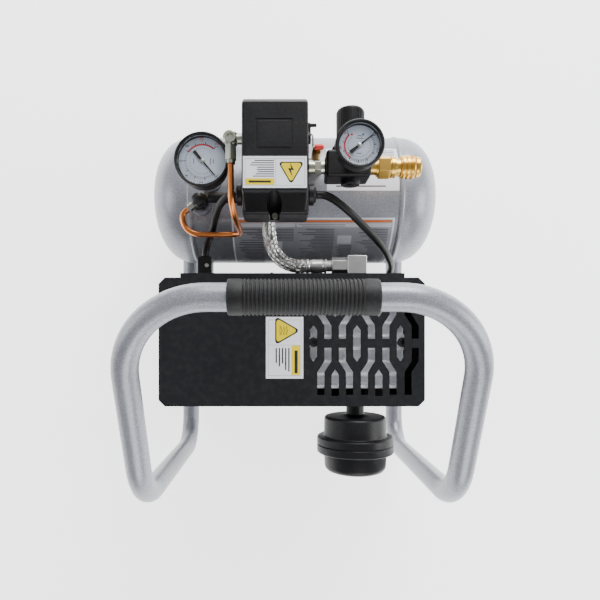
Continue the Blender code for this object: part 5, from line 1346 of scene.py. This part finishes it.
# Ticks, flutes and knurls are boxes set round a circle by one Geometry Nodes tree.
ring_tree, circle = new_tree("ring_row", Count="Int", Radius="Float", First="Float", Step="Float",
    Size="Vector", Finish="Material")
around = reckon(ring_tree, "MULTIPLY_ADD", add_node(ring_tree, "GeometryNodeInputIndex"), circle["Step"],
                circle["First"])
ring_place = add_node(ring_tree, "ShaderNodeCombineXYZ", {
    0: reckon(ring_tree, "MULTIPLY", circle["Radius"], reckon(ring_tree, "COSINE", around)),
    1: reckon(ring_tree, "MULTIPLY", circle["Radius"], reckon(ring_tree, "SINE", around))})
ring_points = add_node(ring_tree, "GeometryNodePoints", {"Count": circle["Count"], "Position": ring_place})
end_tree(ring_tree, add_node(ring_tree, "GeometryNodeInstanceOnPoints", {
    "Points": ring_points, "Instance": add_node(ring_tree, "GeometryNodeMeshCube", {"Size": circle["Size"]}),
    "Rotation": add_node(ring_tree, "ShaderNodeCombineXYZ", {2: around})}), circle["Finish"])


def ring_row(axis, centre, count, radius, first, step, size, material):
    """Boxes of a size (out, round, along) set round an axis, first and step in degrees."""
    shape = grow(ring_tree, {"Count": count, "Radius": radius, "First": math.radians(first),
        "Step": math.radians(step), "Size": Vector(size), "Finish": material})
    shape.data.transform(Matrix.Translation(Vector(centre)) @ AXIS_TURNS[axis].to_4x4())
    return shape


dial_paint = moulded("dial_paint", (0.66, 0.72, 0.82), (0.72, 0.78, 0.88), 0.35, grain=0.03)
ink_red = moulded("ink_red", (0.62, 0.02, 0.03), (0.68, 0.04, 0.05), 0.35, grain=0.03)
ink_blue = moulded("ink_blue", (0.03, 0.16, 0.62), (0.05, 0.20, 0.68), 0.35, grain=0.03)
clear_lens = bpy.data.materials.new("clear_lens")
clear_lens.use_nodes = True
lens_shader = clear_lens.node_tree.nodes["Principled BSDF"]
lens_shader.inputs["Base Color"].default_value = (0.97, 0.98, 1.0, 1)
lens_shader.inputs["Transmission Weight"].default_value = 1.0
lens_shader.inputs["IOR"].default_value = 1.30
lens_tree = clear_lens.node_tree
lens_smudge = add_node(lens_tree, "ShaderNodeTexNoise", {
    "Vector": add_node(lens_tree, "ShaderNodeTexCoord", out=3), "Scale": 90.0})
lens_tree.links.new(stretch(lens_tree, lens_smudge, 0.3, 12.0), lens_shader.inputs["Roughness"])


def arc_band(x, y, radius, width, first, last, level, material):
    """A printed arc, its ends in degrees."""
    steps = 28
    angles = [math.radians(first + (last - first) * step / steps) for step in range(steps + 1)]
    plan = [(x + (radius + width / 2) * math.cos(a), y + (radius + width / 2) * math.sin(a)) for a in angles]
    plan += [(x + (radius - width / 2) * math.cos(a), y + (radius - width / 2) * math.sin(a))
             for a in reversed(angles)]
    return prism_shape("Z", plan, level, level + 0.00005, material)


def numeral(text, x, y, turn, height, level, material):
    """A printed number centred on a spot."""
    curve = bpy.data.curves.new("numeral", "FONT")
    curve.body = text
    curve.size = height
    curve.align_x, curve.align_y = "CENTER", "CENTER"
    curve.extrude = 0.00003
    writing = bpy.data.objects.new("numeral", curve)
    bpy.context.scene.collection.objects.link(writing)
    mesh = bpy.data.meshes.new_from_object(writing.evaluated_get(bpy.context.evaluated_depsgraph_get()))
    bpy.data.objects.remove(writing, do_unlink=True)
    mesh.transform(Matrix.Translation((x, y, level)) @ Matrix.Rotation(turn, 4, "Z"))
    mesh.materials.clear()
    mesh.materials.append(material)
    shape = bpy.data.objects.new("shape", mesh)
    bpy.context.scene.collection.objects.link(shape)
    return shape


for label, body, zero, depth, numbers in (("tank_gauge", "tank_pointer", 131, 0.024, range(0, 13, 2)),
        ("regulator_gauge", "outlet_pointer", -142, 0.021, range(0, 11, 2))):
    case_low, case_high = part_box(label + "_case")
    radius, face = (case_high.x - case_low.x) / 2, case_high.z
    x, y = (case_low.x + case_high.x) / 2, (case_low.y + case_high.y) / 2
    spot, back, stem_low = (x, y, 0), face - depth, case_low.z
    cup = spin_profile("Z", spot, ((back, 0), (back, radius - 0.0050), (back + 0.0008, radius - 0.0030),
        (back + 0.0030, radius - 0.0018), (face - 0.0066, radius - 0.0014),
        (face - 0.0060, radius - 0.0004), (face - 0.0052, radius), (face - 0.0010, radius),
        (face - 0.0003, radius - 0.0005), (face, radius - 0.0013), (face - 0.0003, radius - 0.0022),
        (face - 0.0012, radius - 0.0028), (back + 0.004, radius - 0.0032), (back + 0.004, 0)), 96,
        satin_black)
    stem = rod_shape("Z", spot, stem_low, back + 0.0005, 0.0050, brass, 40)
    stem_hex = hexagon("Z", spot, stem_low + 0.0045, back - 0.0005, 0.0080, brass)
    set_in_place(label + "_cup", [cup], [label + "_case"], sharp=40)
    set_in_place(label + "_stem", [stem, stem_hex])
    dial_low, dial_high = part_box(label + "_dial")
    dial_radius, printed = (dial_high.x - dial_low.x) / 2, dial_high.z + 0.00003
    dial_parts = [rod_shape("Z", spot, dial_low.z, dial_high.z, dial_radius, dial_paint, 96)]
    for count, out, step, size in ((41, 0.635, -6.6, (0.0015, 0.00042, 0.00004)),
            (9, 0.645, -33, (0.0026, 0.00085, 0.00006)), (31, 0.47, -8.8, (0.0011, 0.00034, 0.00004))):
        dial_parts.append(ring_row("Z", (x, y, printed), count, radius * out, zero, step, size, ink_black))
    dial_parts.append(arc_band(x, y, radius * 0.60, 0.0015, zero - 166, zero - 264, printed + 0.00008,
        ink_red))
    dial_parts.append(arc_band(x, y, radius * 0.59, 0.00022, zero, zero - 166, printed, ink_black))
    upright = math.radians(zero + 48 + 90)
    for index, number in enumerate(numbers):
        around = math.radians(zero - 264 * index / (len(numbers) - 1))
        ink = ink_red if index > len(numbers) * 0.6 else ink_black
        dial_parts.append(numeral(str(number), x + radius * 0.78 * math.cos(around),
            y + radius * 0.78 * math.sin(around), upright, 0.0048, printed, ink))
    low_side = upright - math.pi / 2
    for reach, width, ink in ((0.30, 0.0062, ink_grey), (0.40, 0.0042, ink_grey), (-0.32, 0.0050, ink_grey)):
        bar = block_shape((-width / 2, -0.00036, printed), (width / 2, 0.00036, printed + 0.00005), ink)
        bar.data.transform(Matrix.Translation((x + radius * reach * math.cos(low_side),
            y + radius * reach * math.sin(low_side), 0)) @ Matrix.Rotation(upright, 4, "Z"))
        dial_parts.append(bar)
    if label == "regulator_gauge":
        for dx, ink in ((0.0066, ink_red), (-0.0034, ink_blue)):
            dial_parts.append(rod_shape("Z", (x + dx, y - 0.0098, 0), printed, printed + 0.00006, 0.0010,
                ink, 24))
    set_in_place(label + "_dial_face", dial_parts, [label + "_dial"])
    lens_low, lens_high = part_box(label + "_lens")
    set_in_place(label + "_glass", [rod_shape("Z", spot, lens_low.z, lens_high.z, dial_radius - 0.0001,
        clear_lens, 96)], [label + "_lens"])
    needle_low, needle_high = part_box(label + "_needle")
    plan = ((0, -0.00075), (radius * 0.70, -0.00032), (radius * 0.70, 0.00032), (0, 0.00075),
            (-0.0030, 0.0013), (-radius * 0.45, 0.0017), (-radius * 0.47, 0.0013), (-radius * 0.47, -0.0013),
            (-radius * 0.45, -0.0017), (-0.0030, -0.0013))
    turn = math.radians(zero)
    plan = [(x + a * math.cos(turn) - b * math.sin(turn), y + a * math.sin(turn) + b * math.cos(turn))
            for a, b in plan]
    pointer = prism_shape("Z", plan, needle_low.z, needle_low.z + 0.0007, ink_black)
    hub = spin_profile("Z", spot, ((needle_low.z, 0), (needle_low.z, 0.0020),
        (needle_high.z - 0.0004, 0.0020), (needle_high.z, 0.0014), (needle_high.z, 0)), 32, zinc_plate)
    set_in_place(label + "_pointer", [pointer, hub], [label + "_needle"], body)


# ----------------------------------------------------------------------- pressure regulator
# A black regulator body between the outlet nipple and the coupler, with a boss for its gauge, a plug
# opposite the fluted knob, and a red lock ring under the knob.

reg_low, reg_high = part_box("regulator_body")
knob_low, knob_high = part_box("regulator_knob")
reg_x, reg_z = (knob_low.x + knob_high.x) / 2, (knob_low.z + knob_high.z) / 2
reg_axis = (reg_x, 0, reg_z)
plug_end_y, gauge_boss_y, gauge_boss_top = -0.1100, -0.1286, 0.2585
reg_block = soft_block((reg_low.x, -0.1410, reg_z - 0.0160), (reg_high.x, -0.1150, reg_z + 0.0160),
    satin_black, 0.0028, 4)
reg_bonnet = spin_profile("Y", reg_axis, ((-0.1510, 0), (-0.1510, 0.0150), (-0.1503, 0.0161),
    (-0.1490, 0.0165), (-0.1400, 0.0165), (-0.1400, 0)), 72, satin_black)
reg_plug = spin_profile("Y", reg_axis, ((-0.1160, 0), (-0.1160, 0.0095), (plug_end_y - 0.0008, 0.0095),
    (plug_end_y, 0.0087), (plug_end_y, 0)), 48, satin_black)
reg_boss = spin_profile("Z", (reg_x, gauge_boss_y, 0), ((reg_z + 0.010, 0), (reg_z + 0.010, 0.0085),
    (gauge_boss_top - 0.0008, 0.0085), (gauge_boss_top, 0.0077), (gauge_boss_top, 0)), 48, satin_black)
reg_shoulder = soft_block((reg_low.x + 0.0010, -0.1455, reg_z - 0.0125),
    (reg_x + 0.0190, -0.1395, reg_z + 0.0125), satin_black, 0.0020, 3)
set_in_place("regulator_skin", [reg_block, reg_bonnet, reg_plug, reg_boss, reg_shoulder],
    ["regulator_body"])
plug_screw = bolts([(reg_x, plug_end_y, reg_z)], "+Y", 0.0040, 0.0010, satin_black, 40, 0.5)
set_in_place("regulator_plug_screw", [plug_screw])
cap_red = moulded("red_plastic", (0.70, 0.012, 0.010), (0.78, 0.03, 0.02), 0.22, grain=0.08, dust=0.04)
ring_low, ring_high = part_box("regulator_lock_ring")
lock_ring = spin_profile("Y", reg_axis, ((ring_low.y, 0.0105), (ring_low.y, 0.0143),
    (ring_low.y + 0.0006, 0.0150), (ring_high.y - 0.0006, 0.0150), (ring_high.y, 0.0143),
    (ring_high.y, 0.0105)), 72, cap_red)
lock_teeth = ring_row("Y", (reg_x, (ring_low.y + ring_high.y) / 2, reg_z), 24, 0.0148, 0, 15,
    (0.0012, 0.0012, ring_high.y - ring_low.y - 0.0008), cap_red)
set_in_place("lock_ring", [lock_ring, soften(lock_teeth, 0.0002)], ["regulator_lock_ring"])
knob_core = spin_profile("Y", reg_axis, (
    (knob_low.y, 0), (knob_low.y, 0.0100), (knob_low.y + 0.0004, 0.0118), (knob_low.y + 0.0016, 0.0131),
    (knob_low.y + 0.0034, 0.0135), (knob_high.y - 0.0012, 0.0135), (knob_high.y, 0.0125), (knob_high.y, 0)),
    96, satin_black)
knob_flutes = ring_row("Y", (reg_x, (knob_low.y + knob_high.y) / 2 + 0.0008, reg_z), 36, 0.01335, 0, 10,
    (0.0013, 0.0012, knob_high.y - knob_low.y - 0.0048), satin_black)
set_in_place("regulator_knob_skin", [knob_core, soften(knob_flutes, 0.0003)],
    ["regulator_knob"], "knob")
nipple_low, nipple_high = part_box("outlet_nipple")
coupler_y, coupler_z = (nipple_low.y + nipple_high.y) / 2, (nipple_low.z + nipple_high.z) / 2
nipple = spin_profile("X", (0, coupler_y, coupler_z), (
    (nipple_low.x, 0), (nipple_low.x, 0.0062), (nipple_low.x + 0.0008, 0.00685), (nipple_high.x, 0.00685),
    (nipple_high.x, 0)), 48, zinc_plate)
nipple_hex = hexagon("X", (0, coupler_y, coupler_z), nipple_low.x + 0.004, nipple_low.x + 0.0105, 0.0080,
    zinc_plate)
set_in_place("nipple_skin", [nipple, nipple_hex], ["outlet_nipple"])


# -------------------------------------------------------------------------- quick connector
# A turned brass quick connector: a hexagon, a plain barrel and a nose, with a sprung grooved sleeve
# that is pulled back towards the hexagon to let go of a hose plug.

coupler_low, coupler_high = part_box("coupler_body")
coupler_axis = (0, coupler_y, coupler_z)
nose_x = coupler_low.x
coupler_turned = spin_profile("X", coupler_axis, ((coupler_high.x, 0), (coupler_high.x, 0.0075),
    (-0.0780, 0.0075), (-0.0780, 0.0090), (-0.0920, 0.0090), (-0.0921, 0.0102), (-0.0926, 0.0104),
    (-0.0966, 0.0104), (-0.0970, 0.0101), (-0.0971, 0.0086), (-0.1165, 0.0086), (-0.1166, 0.0098),
    (-0.1172, 0.0100), (-0.1200, 0.0100), (-0.1212, 0.0094), (nose_x, 0.0086), (nose_x, 0.0062),
    (nose_x + 0.0006, 0.0056), (-0.0960, 0.0056), (-0.0960, 0)), 80, brass)
coupler_hex = hexagon("X", coupler_axis, -0.0912, -0.0794, 0.0118, brass, 0.0007)
set_in_place("coupler_skin", [coupler_turned, coupler_hex], ["coupler_body"], sharp=28)
sleeve_low, sleeve_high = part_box("coupler_sleeve")
sleeve_profile = [(sleeve_low.x, 0.0090), (sleeve_low.x, 0.0100), (sleeve_low.x + 0.0006, 0.0108)]
ring_pitch = (sleeve_high.x - sleeve_low.x - 0.0012) / 3
for index in range(3):
    near = sleeve_low.x + 0.0006 + index * ring_pitch
    sleeve_profile += [(near + ring_pitch * 0.18, 0.0112), (near + ring_pitch * 0.50, 0.0114),
        (near + ring_pitch * 0.78, 0.0111), (near + ring_pitch * 0.92, 0.0101), (near + ring_pitch, 0.0101)]
sleeve_profile += [(sleeve_high.x - 0.0004, 0.0106), (sleeve_high.x, 0.0100), (sleeve_high.x, 0.0090)]
sleeve_knurl = ring_row("X", (sleeve_low.x + 0.0006 + ring_pitch * 0.5, coupler_y, coupler_z), 60,
    0.01125, 0, 6, (0.0006, 0.0005, ring_pitch * 0.5), brass)
set_in_place("sleeve_skin", [spin_profile("X", coupler_axis, sleeve_profile, 80, brass), sleeve_knurl],
    ["coupler_sleeve"], "sleeve", sharp=28)


# ----------------------------------------------------------------------------- safety valve
# A brass relief valve screwed into the tank. A bent wire and a red cap on its stem lift it by hand.

relief_low, relief_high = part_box("safety_valve_body")
relief_x, relief_y = (relief_low.x + relief_high.x) / 2, (relief_low.y + relief_high.y) / 2
relief_body = spin_profile("Z", (relief_x, relief_y, 0), (
    (0.1830, 0), (0.1830, 0.0055), (0.1900, 0.0055), (0.2000, 0.0056), (0.2005, 0.0048), (0.2380, 0.0048),
    (0.2395, 0.0042), (0.2440, 0.0033), (0.2440, 0)), 48, brass)
relief_hex = hexagon("Z", (relief_x, relief_y, 0), 0.1905, 0.1995, 0.0066, brass, 0.0004)
set_in_place("relief_skin", [relief_body, relief_hex], ["safety_valve_body"])
pull_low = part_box("safety_valve_pull")[0]
pull_z = pull_low.z + 0.0036
red_cap = spin_profile("X", (0, relief_y + 0.0006, pull_z), ((-0.0256, 0), (-0.0254, 0.0013),
    (-0.0246, 0.0023), (-0.0232, 0.0029), (-0.0170, 0.0029), (-0.0162, 0.0024), (-0.0162, 0)), 40, cap_red)
pull_neck = rod_shape("Z", (relief_x, relief_y, 0), pull_low.z, pull_z, 0.0018, zinc_plate, 24)
wire_corners = [Vector((x, y, pull_z)) for x, y in ((-0.0170, -0.1456), (-0.0150, -0.1458),
    (-0.0147, -0.1480), (-0.0147, -0.1540), (-0.0138, -0.1575), (-0.0116, -0.1592), (-0.0104, -0.1594))]
pull_wire = draw_tube(smooth_route(wire_corners, 0.0006), 0.0009, 16, zinc_plate)
set_in_place("relief_pull_skin", [red_cap, pull_neck, pull_wire], ["safety_valve_pull"],
    "relief_pull")


# ----------------------------------------------------------------------------- measured box
# The box round everything that renders, the floor left out.

low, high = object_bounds()
